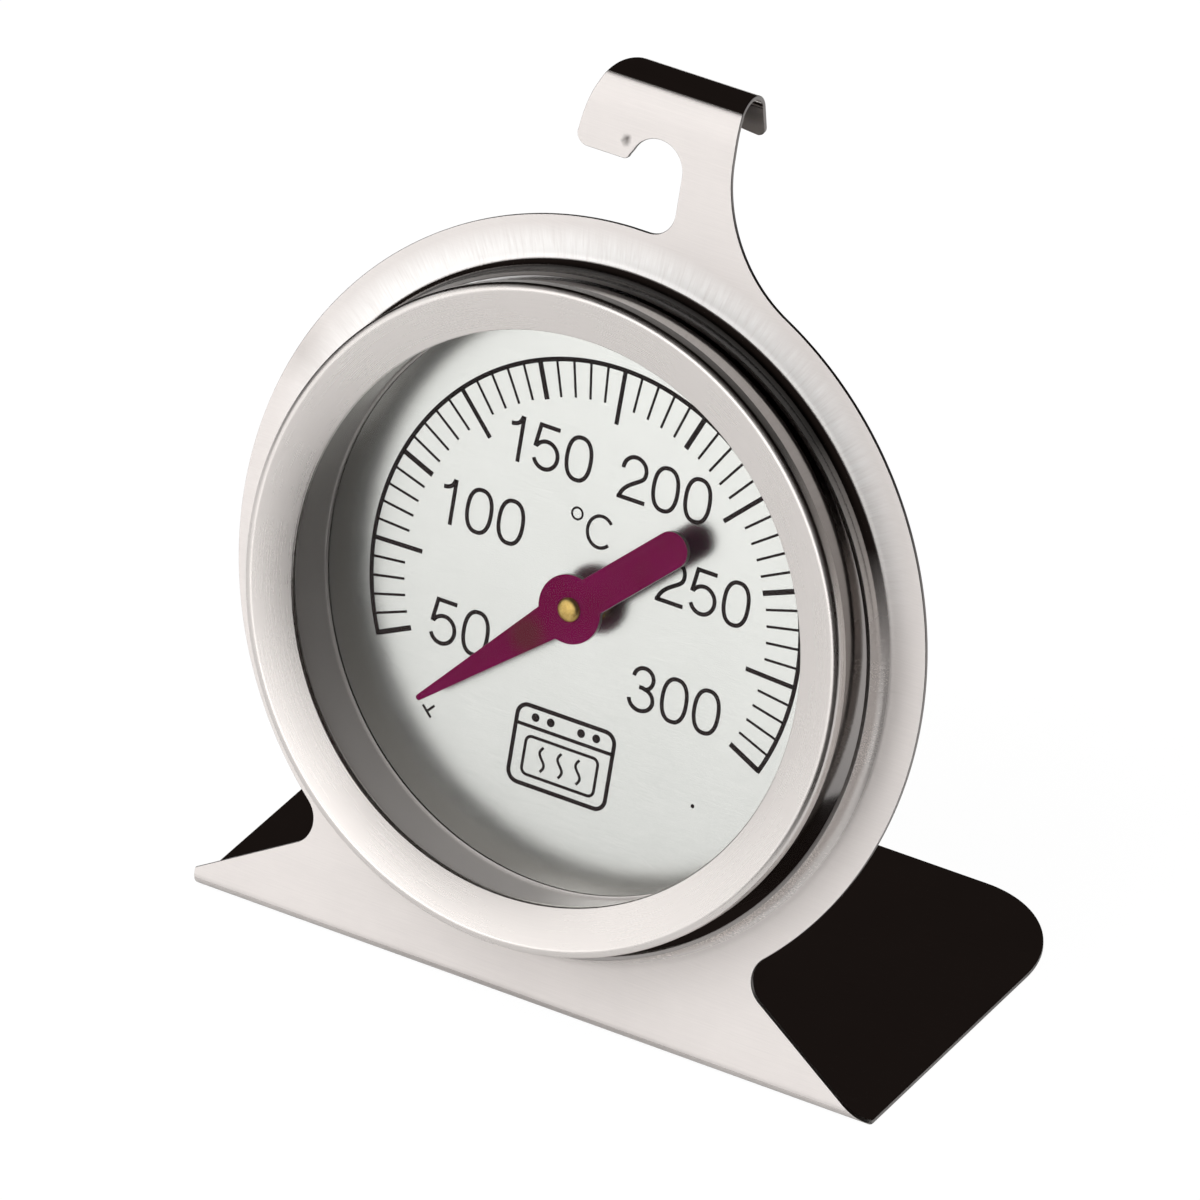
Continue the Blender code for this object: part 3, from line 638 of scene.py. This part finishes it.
def write_number(shape, text, x, y):
    for place, digit in enumerate(text):
        for points, closed in digit_lines(digit):
            moved = [(x + place * DIGIT_ADVANCE + a, y + b) for a, b in points]
            stroke(shape, moved, DIGIT_STROKE, DIAL_FACE, closed)


def printed_numbers(look):
    shape = bmesh.new()
    for text, x, y in NUMBERS:
        write_number(shape, text, x, y)
    return finish_piece("dial_numbers", shape, CASE_BODY, [look])


def printed_scale(look):
    """Arc with a mark every 5 degrees: heavy every 50, and long at the other multiples of 25."""
    shape = bmesh.new()
    end = SCALE_START - SCALE_STEPS * DEGREES_PER_5
    line = arc(0, 0, SCALE_R, SCALE_START + SCALE_END_OVERLAP, end - SCALE_END_OVERLAP, 230)
    stroke(shape, line, SCALE_LINE, DIAL_FACE)
    for i in range(SCALE_STEPS + 1):
        turn = SCALE_START - i * DEGREES_PER_5
        inner, width = next(mark[1:] for mark in SCALE_MARKS if i % mark[0] == 0)
        stroke(shape, [polar(SCALE_R, turn), polar(inner, turn)], width, DIAL_FACE)
    return finish_piece("dial_scale", shape, CASE_BODY, [look])


def printed_unit(look):
    """Degree ring and C, above the middle."""
    shape = bmesh.new()
    stroke(shape, arc(-1.84, 6.66, 0.46, 0, 360, 28)[:-1], 0.17, DIAL_FACE, True)
    stroke(shape, ellipse(0.34, 5.84, 1.12, 1.24, 42, 318, 36), 0.27, DIAL_FACE)
    return finish_piece("dial_unit", shape, CASE_BODY, [look])


def printed_marks(look):
    """Small setting marks: a T near the pointer's rest place, and a dot."""
    shape = bmesh.new()
    along = Vector(polar(1.0, REST_MARK))
    side = Vector((-along.y, along.x)) * REST_MARK_HALF
    middle = along * REST_MARK_R
    stroke(shape, [tuple(middle - side), tuple(middle + side)], SMALL_STROKE, DIAL_FACE)
    stroke(shape, [tuple(middle), tuple(middle - along * REST_MARK_STEM)], SMALL_STROKE, DIAL_FACE)
    spot(shape, 11.9, -12.55, 0.16, DIAL_FACE)
    return finish_piece("dial_marks", shape, CASE_BODY, [look])


def rounded_box(left, bottom, right, top, radius):
    """Outline of a rectangle with round corners."""
    corners = ((left, bottom), (right, bottom), (right, top), (left, top))
    return rounded([(x, y, radius) for x, y in corners], 15.0)


def printed_oven(look):
    """Plain pictogram of an oven: body, knobs, window and rising heat."""
    shape = bmesh.new()
    x, y = OVEN_AT
    wide, high = OVEN_HALF
    body = rounded_box(x - wide, y - high, x + wide, y + high, 0.9)
    stroke(shape, body, 0.34, DIAL_FACE, True)
    stroke(shape, [(x - wide, y + 1.5), (x + wide, y + 1.5)], 0.28, DIAL_FACE)
    for knob in (-2.7, -1.35, 1.35, 2.7):
        spot(shape, x + knob, y + 2.3, 0.34, DIAL_FACE)
    pane = rounded_box(x - 3.2, y - 2.3, x + 3.2, y + 0.75, 0.5)
    stroke(shape, pane, 0.24, DIAL_FACE, True)
    for wave in (-1.6, 0.0, 1.6):
        line = [(x + wave + 0.26 * math.sin(math.radians(24 * i)), y - 1.75 + 0.13 * i) for i in range(16)]
        stroke(shape, line, 0.22, DIAL_FACE)
    return finish_piece("dial_oven_pictogram", shape, CASE_BODY, [look])


# ---------------------------------------------------------------- pointer


def pointer_blade(paint, bare):
    """Flat painted pointer with a bare cut edge: round hub, tapered blade, broad round-ended tail."""
    tip_x = POINTER_TIP - POINTER_TIP_R
    lean = math.degrees(math.atan2(POINTER_ROOT_HALF - POINTER_TIP_R, tip_x))
    hub = math.degrees(math.asin(POINTER_ROOT_HALF / POINTER_HUB_R)) - 3
    tail = math.degrees(math.asin(POINTER_TAIL_R / POINTER_HUB_R))
    outside = arc(tip_x, 0, POINTER_TIP_R, lean - 90, 90 - lean, 12)
    outside += arc(0, 0, POINTER_HUB_R, hub, 180 - tail, 40)
    outside += arc(-POINTER_TAIL, 0, POINTER_TAIL_R, 90, 270, 40)
    outside += arc(0, 0, POINTER_HUB_R, 180 + tail, 360 - hub, 40)
    hole = arc(0, 0, 0.88, 0, 360, 40)[:-1]
    shape = filled((outside, hole), POINTER_TOP - POINTER_SHEET)
    top = bmesh.ops.extrude_face_region(shape, geom=list(shape.faces))["geom"]
    rise = [g for g in top if isinstance(g, bmesh.types.BMVert)]
    bmesh.ops.translate(shape, verts=rise, vec=(0.0, 0.0, POINTER_SHEET * MM))
    bmesh.ops.recalc_face_normals(shape, faces=shape.faces)
    for face in shape.faces:
        face.material_index = 0 if abs(face.normal.z) > 0.5 else 1
    matrix = PLATE @ Matrix.Rotation(math.radians(POINTER_REST), 4, "Z")
    looks = [paint, bare]
    piece = finish_piece("pointer_blade", shape, POINTER_BODY, looks, ["pointer"], matrix)
    soften(piece, 0.035)
    return piece


def boss(look):
    """Brass boss on the arbor; its riveted front end shows in the pointer."""
    foot = POINTER_TOP + 0.04
    under = POINTER_TOP - POINTER_SHEET - 0.05
    dome = [(PIN_R * math.sin(math.radians(a)), foot + 0.06 + 0.27 * math.cos(math.radians(a)))
            for a in range(10, 91, 10)]
    neck_r, hub_r, bore_r = 0.8, 1.5, 0.68
    end, bore_top = -1.35, POINTER_TOP - 0.42
    profile = [(0.0, foot + 0.33)] + dome + [(PIN_R, foot), (neck_r, foot), (neck_r, under)]
    profile += [(hub_r, under), (hub_r, end), (bore_r, end), (bore_r, bore_top), (0.0, bore_top)]
    shape = turned(profile, closed=False, steps=72)
    return finish_piece("boss_pin", shape, POINTER_BODY, [look], ["pointer_boss"])


# ---------------------------------------------------------------- materials


class Look:
    """A node material built round one Principled shader."""

    def __init__(self, name):
        self.material = bpy.data.materials.new(name)
        self.material.use_nodes = True
        self.tree = self.material.node_tree
        self.shader = self.tree.nodes["Principled BSDF"]

    def node(self, kind, inputs=(), **settings):
        made = self.tree.nodes.new(kind)
        for key, value in settings.items():
            setattr(made, key, value)
        for key, value in dict(inputs).items():
            if isinstance(value, bpy.types.NodeSocket):
                self.tree.links.new(value, made.inputs[key])
            else:
                made.inputs[key].default_value = value
        return made

    def math(self, operation, first, second=0.0):
        return self.node("ShaderNodeMath", {0: first, 1: second}, operation=operation).outputs[0]

    def vector(self, operation, first, second=(0.0, 0.0, 0.0)):
        return self.node("ShaderNodeVectorMath", {0: first, 1: second}, operation=operation).outputs[0]

    def measure(self, operation, first, second=(0.0, 0.0, 0.0)):
        """A vector operation that gives one value."""
        made = self.node("ShaderNodeVectorMath", {0: first, 1: second}, operation=operation)
        return made.outputs["Value"]

    def place(self):
        """Coordinates in the plate frame, in metres."""
        raw = self.node("ShaderNodeTexCoord").outputs["Object"]
        inputs = {"Vector": raw, "Location": HEAD, "Rotation": (math.radians(90 - LEAN), 0.0, 0.0)}
        return self.node("ShaderNodeMapping", inputs, vector_type="TEXTURE").outputs["Vector"]

    def flatness(self, start, end):
        """1 where the surface lies along the plate, 0 where it bends away from it."""
        normal = self.node("ShaderNodeTexCoord").outputs["Normal"]
        facing = self.measure("DOT_PRODUCT", normal, OUT)
        return self.spread(self.math("ABSOLUTE", facing), 0.0, 1.0, start, end)

    def near(self, where, point, inner, outer):
        """1 within an inner distance of a point of the plate, 0 beyond an outer one, in millimetres."""
        gap = self.measure("DISTANCE", where, tuple(v * MM for v in point))
        return self.ramp(gap, 1.0, 0.0, inner, outer)

    def parts(self, where):
        """The three coordinates of a place, and its shadow on the plate."""
        x, y, z = self.node("ShaderNodeSeparateXYZ", {0: where}).outputs
        return x, y, z, self.node("ShaderNodeCombineXYZ", {"X": x, "Y": y}).outputs[0]

    def radius(self, where):
        return self.measure("LENGTH", self.parts(where)[3])

    def times(self, *values):
        """The product of several values."""
        result = values[0]
        for value in values[1:]:
            result = self.math("MULTIPLY", result, value)
        return result

    def weigh(self, first, second, share):
        """A share of one value plus the rest of another."""
        return self.math("ADD", self.times(first, share), self.times(second, 1 - share))

    def mix(self, amount, first, second):
        """Mixes two values."""
        made = self.node("ShaderNodeMix", {0: amount, 2: first, 3: second}, data_type="FLOAT")
        return made.outputs[0]

    def noise(self, where, scale, detail=3.0, rough=0.55):
        inputs = {"Vector": where, "Scale": scale, "Detail": detail, "Roughness": rough}
        return self.node("ShaderNodeTexNoise", inputs).outputs["Fac"]

    def noise_vector(self, where, scale):
        """Noise colour centred on nothing, as a vector."""
        made = self.node("ShaderNodeTexNoise", {"Vector": where, "Scale": scale, "Detail": 2.0})
        return self.vector("SUBTRACT", made.outputs["Color"], (0.5, 0.5, 0.5))

    def spread(self, value, low, high, start=0.3, end=0.7):
        """Maps a value to a range."""
        inputs = {"Value": value, "From Min": start, "From Max": end, "To Min": low, "To Max": high}
        return self.node("ShaderNodeMapRange", inputs).outputs["Result"]

    def ramp(self, value, low, high, start, end):
        """Maps a length, between two lengths in millimetres, to a range."""
        return self.spread(value, low, high, start * MM, end * MM)

    def blend(self, amount, first, second):
        """Mixes two colours."""
        made = self.node("ShaderNodeMix", data_type="RGBA")
        for socket, value in ((made.inputs[0], amount), (made.inputs[6], first), (made.inputs[7], second)):
            if isinstance(value, bpy.types.NodeSocket):
                self.tree.links.new(value, socket)
            else:
                socket.default_value = value
        return made.outputs[2]

    def colour(self, value, first, second):
        """Gives a base colour between two, as a noise value says."""
        self.feed("Base Color", self.blend(self.spread(value, 0.0, 1.0), (*first, 1), (*second, 1)))

    def feed(self, socket, value):
        self.tree.links.new(value, self.shader.inputs[socket])

    def set(self, **values):
        for key, value in values.items():
            self.shader.inputs[key.replace("_", " ")].default_value = value

    def bump(self, height, strength, distance):
        """Relief whose full height is a distance in millimetres."""
        inputs = {"Height": height, "Strength": strength, "Distance": distance * MM}
        self.feed("Normal", self.node("ShaderNodeBump", inputs).outputs["Normal"])


def tint(colour, factor):
    return (*(min(1.0, c * factor) for c in colour), 1.0)


def straight_grain(look, along, across):
    """Streaks that run along X."""
    return look.vector("MULTIPLY", look.place(), (along, across, across))


def round_grain(look, along, across):
    """Streaks that run round Z: the angle counts little, and the radius and height count much."""
    height, flat = look.parts(look.place())[2:]
    radius = look.measure("LENGTH", flat)
    turned_part = look.vector("MULTIPLY", look.vector("NORMALIZE", flat), (along, along, 0.0))
    depth = look.math("MULTIPLY", look.math("ADD", radius, height), across)
    lift = look.node("ShaderNodeCombineXYZ", {"Z": depth}).outputs[0]
    return look.vector("ADD", turned_part, lift)


SHEET_GRAIN = (straight_grain, 900.0, 6000.0)


def wall_shade(look, where, inside):
    """1 at the top of a round wall, which is painted dark there as a painted dark reflection, and 0
    elsewhere.
    """
    steep = look.math("SUBTRACT", 1.0, look.flatness(0.55, 0.8))
    high = look.ramp(look.parts(where)[1], 0.0, 1.0, 8.0, 19.0)
    return look.times(steep, inside, high)


def brushed_metal(name, colour, roughness, grain, along, across, metallic=1.0, painted_dark_from=None):
    """Metal with fine streaks and faint clouds; a wall beyond a radius may get a painted dark reflection
    at its top.
    """
    look = Look(name)
    look.set(Metallic=metallic)
    where = look.place()
    streak = look.noise(grain(look, along, across), 1.0, 4.0, 0.6)
    both = look.weigh(streak, look.noise(where, 160.0, 4.0, 0.6), 0.5)
    shade = look.blend(look.spread(both, 0.0, 1.0), tint(colour, 0.97), tint(colour, 1.03))
    # Painted dark reflection: the top of the wall beyond the radius is darkened.
    if painted_dark_from:
        wall = look.ramp(look.radius(where), 0.0, 1.0, painted_dark_from, painted_dark_from + 0.3)
        shade = look.blend(wall_shade(look, where, wall), shade, tint(colour, 0.12))
    look.feed("Base Color", shade)
    look.feed("Roughness", look.spread(both, roughness - 0.04, roughness + 0.04))
    look.bump(streak, 0.1, 0.02)
    return look.material


def stand_marks(look, where, shade):
    """A dark stain on the hook and a faint darker patch on the disc, over a shade."""
    unevenness = look.vector("MULTIPLY", look.noise_vector(where, 900.0), (0.0012, 0.0012, 0.0))
    wobble = look.vector("ADD", where, unevenness)
    stain = look.near(wobble, (-2.4, 36.35, 0.0), 0.1, 0.6)
    dark_patch = look.near(wobble, (-27.0, 12.5, 0.0), 0.3, 3.2)
    shade = look.blend(look.times(stain, 0.85), shade, (0.10, 0.085, 0.08, 1))
    return look.blend(look.times(dark_patch, 0.22), shade, (0.25, 0.22, 0.20, 1))


def stand_metal(colour):
    """Satin sheet, brushed across; bends, foot and collar are polished; marks run round the collar; the
    collar's wall has a painted dark reflection at its top, and the flat beside it a painted highlight.
    """
    look = Look("stand_steel_look")
    where = look.place()
    up, out = look.parts(where)[1:3]
    radius = look.radius(where)
    streak = look.noise(straight_grain(look, 220.0, 9000.0), 1.0, 4.0, 0.6)
    both = look.weigh(streak, look.noise(where, 130.0, 4.0, 0.6), 0.45)
    drawn = look.noise(round_grain(look, 130.0, 300.0), 1.0, 3.0, 0.6)
    flat = look.flatness(0.90, 0.97)

    in_front = look.ramp(out, 0.0, 1.0, -0.8, -0.5)
    collar = look.times(look.ramp(radius, 1.0, 0.0, COLLAR_FOOT_R, COLLAR_FOOT_R + 0.5), in_front)
    low_collar = look.times(collar, look.ramp(up, 1.0, 0.0, 4.0, 12.0))
    highlight_band = look.ramp(radius, 1.0, 0.0, COLLAR_FOOT_R - 0.1, COLLAR_FOOT_R + 1.9)
    painted_highlight = look.times(highlight_band, look.ramp(up, 0.0, 1.0, 4.0, 20.0), flat, drawn, 2.0)

    shade = look.blend(look.spread(both, 0.0, 1.0), tint(colour, 0.94), tint(colour, 1.06))
    # Painted dark reflection: the collar's wall is darkened at its top.
    shade = look.blend(wall_shade(look, where, collar), shade, tint(colour, 0.05))
    # Painted highlight: the flat just outside the collar turns lighter towards the top, along the real
    # drawn marks.
    shade = look.blend(look.math("MINIMUM", painted_highlight, 1.0), shade, (1.0, 0.98, 0.96, 1))
    look.feed("Base Color", stand_marks(look, where, shade))

    bent_metallic = look.spread(low_collar, 1.0, DRAWN_METALLIC, 0.0, 1.0)
    look.feed("Metallic", look.mix(flat, bent_metallic, SATIN_METALLIC))
    satin = look.spread(both, SATIN_ROUGHNESS - 0.03, SATIN_ROUGHNESS + 0.03)
    polished = look.math("ADD", look.spread(both, 0.07, 0.12), look.times(low_collar, 0.17))
    look.feed("Roughness", look.mix(flat, polished, satin))

    marked = look.ramp(radius, 1.0, 0.0, COLLAR_FOOT_R - 0.4, COLLAR_FOOT_R + 1.2)
    relief = look.math("ADD", look.times(drawn, marked, 1.2), look.times(streak, 0.1))
    look.bump(relief, 1.0, 0.02)
    return look.material


def dial_metal():
    """Aluminium, finely brushed across."""
    look = Look("dial_aluminium_look")
    look.set(Metallic=1.0)
    streak = look.noise(straight_grain(look, 500.0, 11000.0), 1.0, 4.0, 0.7)
    both = look.weigh(streak, look.noise(look.place(), 90.0, 3.0), 0.6)
    look.colour(both, (0.72, 0.73, 0.70), (0.78, 0.79, 0.76))
    look.feed("Roughness", look.spread(both, 0.22, 0.26))
    look.bump(streak, 0.15, 0.02)
    return look.material


def ink():
    """Dark print with a slightly uneven film."""
    look = Look("print_ink_look")
    look.set(Specular_IOR_Level=0.04)
    film = look.noise(look.place(), 5000.0, 2.0)
    look.colour(film, (0.012, 0.008, 0.008), (0.022, 0.016, 0.016))
    look.feed("Roughness", look.spread(film, 0.42, 0.6))
    return look.material


def plum_paint():
    """Satin plum lacquer with a fine grain and a browner patch on the blade beside the hub."""
    look = Look("pointer_paint_look")
    look.set(Metallic=0.4, Specular_IOR_Level=0.0)
    where = look.place()
    grain = look.noise(where, 2600.0, 3.0)
    both = look.weigh(grain, look.noise(where, 260.0, 2.0), 0.35)
    shade = look.blend(look.spread(both, 0.0, 1.0), (0.115, 0.0025, 0.034, 1), (0.150, 0.004, 0.055, 1))
    patch = look.near(where, (*polar(4.4, POINTER_REST), POINTER_TOP), 0.8, 2.1)
    look.feed("Base Color", look.blend(look.times(patch, 0.8), shade, (0.085, 0.016, 0.020, 1)))
    look.feed("Roughness", look.spread(grain, 0.36, 0.46))
    look.bump(grain, 0.1, 0.01)
    return look.material


def brass_metal(name, roughness):
    """Turned brass with small dents."""
    look = Look(name)
    look.set(Metallic=1.0)
    turned_lines = look.noise(round_grain(look, 4.0, 9000.0), 1.0, 3.0)
    dents = look.noise(look.place(), 1900.0, 2.0)
    both = look.weigh(turned_lines, dents, 0.4)
    look.colour(both, (0.48, 0.30, 0.07), (0.80, 0.58, 0.20))
    look.feed("Roughness", look.spread(both, roughness - 0.06, roughness + 0.08))
    look.bump(dents, 0.35, 0.08)
    return look.material


def lens_glass():
    """Clear flat glass: mirrors little straight on and more at a slant, with a trace of smudges."""
    look = Look("lens_glass_look")
    look.set(Metallic=1.0)
    smudge = look.noise(look.place(), 120.0, 4.0, 0.6)
    look.colour(smudge, (0.93, 0.97, 0.95), (0.99, 1.0, 0.99))
    look.feed("Roughness", look.spread(smudge, 0.02, 0.07))
    facing = look.node("ShaderNodeLayerWeight", {"Blend": 0.5}).outputs["Facing"]
    slant = look.times(look.math("POWER", facing, 5.0), 0.9)
    look.feed("Alpha", look.math("ADD", slant, 0.005))
    return look.material


def heated_strip():
    """Bimetal strip: rolled steel with straw and blue heat tints."""
    look = Look("bimetal_look")
    look.set(Metallic=1.0)
    streak = look.noise(straight_grain(look, 2000.0, 9000.0), 1.0, 3.0)
    look.colour(look.noise(look.place(), 260.0, 2.0), (0.46, 0.36, 0.24), (0.40, 0.42, 0.48))
    look.feed("Roughness", look.spread(streak, 0.3, 0.42))
    look.bump(streak, 0.2, 0.02)
    return look.material


# ---------------------------------------------------------------- stage

# Lengths of the stage are in metres, and its lights in watts
CAMERA_AZIMUTH = 32.09
CAMERA_ELEVATION = 33.58
CAMERA_DISTANCE = 1.17614
CAMERA_RIGHT = 0.00167
CAMERA_UP = 0.00046
CAMERA_LENS = 469.8
FLOOR_R = 0.42
FLOOR_NEAR_R = 0.09
FLOOR_GAP = (-3, 55)
FLOOR_GLOW = 0.9
FLOOR_GLOW_STRENGTH = 1.06
STUDIO_DARK = (0.012, 0.009, 0.008, 1)
KEY_AZIMUTH = -28.5


def direction(azimuth, elevation):
    """Unit vector towards an azimuth (0 is the front, 90 the right) and an elevation."""
    a, e = math.radians(azimuth), math.radians(elevation)
    return Vector((math.sin(a) * math.cos(e), -math.cos(a) * math.cos(e), math.sin(e)))


def camera():
    back = direction(CAMERA_AZIMUTH, CAMERA_ELEVATION)
    right = direction(CAMERA_AZIMUTH + 90, 0)
    up = back.cross(right)
    data = bpy.data.cameras.new("camera")
    data.lens = CAMERA_LENS
    data.sensor_width = 36.0
    data.clip_start = 0.05
    data.clip_end = 20.0
    made = bpy.data.objects.new("camera", data)
    bpy.context.scene.collection.objects.link(made)
    place = HEAD + right * CAMERA_RIGHT + up * CAMERA_UP + back * CAMERA_DISTANCE
    turn = Matrix((right, up, back)).transposed().to_4x4()
    made.matrix_world = Matrix.Translation(place) @ turn
    bpy.context.scene.camera = made


def panel(name, azimuth, elevation, distance, wide, high, power, glossy=True):
    """A soft rectangular light that faces the object."""
    data = bpy.data.lights.new(name, "AREA")
    data.shape = "RECTANGLE"
    data.size = wide
    data.size_y = high
    data.energy = power
    made = bpy.data.objects.new(name, data)
    bpy.context.scene.collection.objects.link(made)
    towards = direction(azimuth, elevation)
    made.location = HEAD + towards * distance
    made.rotation_mode = "QUATERNION"
    made.rotation_quaternion = towards.to_track_quat("Z", "Y")
    made.visible_glossy = glossy
    made.visible_camera = False


def floor():
    """Pale paper disc, open at the front right; to the camera it glows, to meet the backdrop unseen."""
    shape = bmesh.new()
    outline = arc(0, 0, FLOOR_R, FLOOR_GAP[1] - 90, FLOOR_GAP[0] + 270, 96)
    outline += arc(0, 0, FLOOR_NEAR_R, FLOOR_GAP[0] - 90, FLOOR_GAP[1] - 90, 24)
    shape.faces.new([shape.verts.new((x, y, 0.0)) for x, y in outline])
    mesh = bpy.data.meshes.new("floor")
    shape.to_mesh(mesh)
    shape.free()
    made = bpy.data.objects.new("floor", mesh)
    bpy.context.scene.collection.objects.link(made)
    look = Look("floor_look")
    look.set(Roughness=0.9, Specular_IOR_Level=0.0)
    paper = look.noise(look.place(), 300.0, 3.0)
    look.colour(paper, (0.57, 0.57, 0.57), (0.59, 0.59, 0.59))
    glow = look.node("ShaderNodeEmission", {"Color": (1, 1, 1, 1), "Strength": FLOOR_GLOW_STRENGTH})
    camera_ray = look.node("ShaderNodeLightPath").outputs["Is Camera Ray"]
    share = look.times(camera_ray, FLOOR_GLOW)
    inputs = {0: share, 1: look.shader.outputs[0], 2: glow.outputs[0]}
    both = look.node("ShaderNodeMixShader", inputs)
    output = look.tree.nodes["Material Output"]
    look.tree.links.new(both.outputs[0], output.inputs["Surface"])
    mesh.materials.append(look.material)


def world():
    """Dark studio round the object, and a white backdrop behind it."""
    made = bpy.data.worlds.new("studio")
    bpy.context.scene.world = made
    made.use_nodes = True
    tree = made.node_tree
    tree.nodes.clear()
    dark = tree.nodes.new("ShaderNodeBackground")
    dark.inputs["Color"].default_value = STUDIO_DARK
    white = tree.nodes.new("ShaderNodeBackground")
    white.inputs["Color"].default_value = (1, 1, 1, 1)
    path = tree.nodes.new("ShaderNodeLightPath")
    mix = tree.nodes.new("ShaderNodeMixShader")
    output = tree.nodes.new("ShaderNodeOutputWorld")
    tree.links.new(path.outputs["Is Camera Ray"], mix.inputs[0])
    tree.links.new(dark.outputs[0], mix.inputs[1])
    tree.links.new(white.outputs[0], mix.inputs[2])
    tree.links.new(mix.outputs[0], output.inputs[0])


def stage():
    bpy.context.scene.view_settings.view_transform = "Standard"
    floor()
    world()
    panel("key_low", KEY_AZIMUTH, 0.0, distance=0.75, wide=0.9, high=0.21, power=0.60)
    panel("key_high", KEY_AZIMUTH, 18.5, distance=0.75, wide=0.9, high=0.278, power=0.90)
    panel("key_heart", -18.0, 9.0, distance=0.72, wide=0.2, high=0.16, power=0.15)
    panel("top", 0.0, 90.0, distance=1.6, wide=2.4, high=2.4, power=33.0, glossy=False)
    panel("fill", -22.0, 40.0, distance=1.5, wide=1.2, high=1.2, power=18.0, glossy=False)
    camera()


# ---------------------------------------------------------------- build


def give(node, look):
    """A material for a CAD node that stays."""
    for slot in frame["nodes"][node].material_slots:
        slot.material = look


def build():
    steel = stand_metal((0.77, 0.725, 0.70))
    cut_edge = brushed_metal("cut_edge_look", (0.36, 0.34, 0.33), 0.4, *SHEET_GRAIN)
    case_steel = brushed_metal("case_steel_look", (0.42, 0.39, 0.375), 0.14, round_grain, 3.0, 7000.0)
    # The bezel's outer wall gets a painted dark reflection at its top.
    bezel_steel = brushed_metal("bezel_steel_look", (0.83, 0.785, 0.755), 0.28, round_grain, 3.0, 8000.0,
                                painted_dark_from=24.9)
    ring_steel = brushed_metal("ring_steel_look", (0.60, 0.57, 0.55), 0.2, round_grain, 3.0, 9000.0,
                               metallic=0.4)
    dark_steel = brushed_metal("movement_steel_look", (0.55, 0.54, 0.53), 0.3, *SHEET_GRAIN)
    bare = brushed_metal("bare_edge_look", (0.62, 0.60, 0.58), 0.35, *SHEET_GRAIN)
    print_ink = ink()
    stand(steel, cut_edge)
    case_shell(case_steel)
    bezel(bezel_steel)
    inner_ring(ring_steel)
    dial(dial_metal())
    printed_scale(print_ink)
    printed_numbers(print_ink)
    printed_unit(print_ink)
    printed_marks(print_ink)
    printed_oven(print_ink)
    pointer_blade(plum_paint(), bare)
    boss(brass_metal("brass_pin_look", 0.32))
    rivet("bridge_rivet_left", -1, dark_steel)
    rivet("bridge_rivet_right", 1, dark_steel)
    give("glass_lens", lens_glass())
    give("dial_support_ring", ring_steel)
    give("bimetal_coil", heated_strip())
    turned_brass = brass_metal("turned_brass_look", 0.25)
    for node in ("front_bearing", "rear_bearing", "coil_collet"):
        give(node, turned_brass)
    for node in ("movement_bridge", "coil_post", "arbor", "thrust_washer"):
        give(node, dark_steel)


build()
stage()
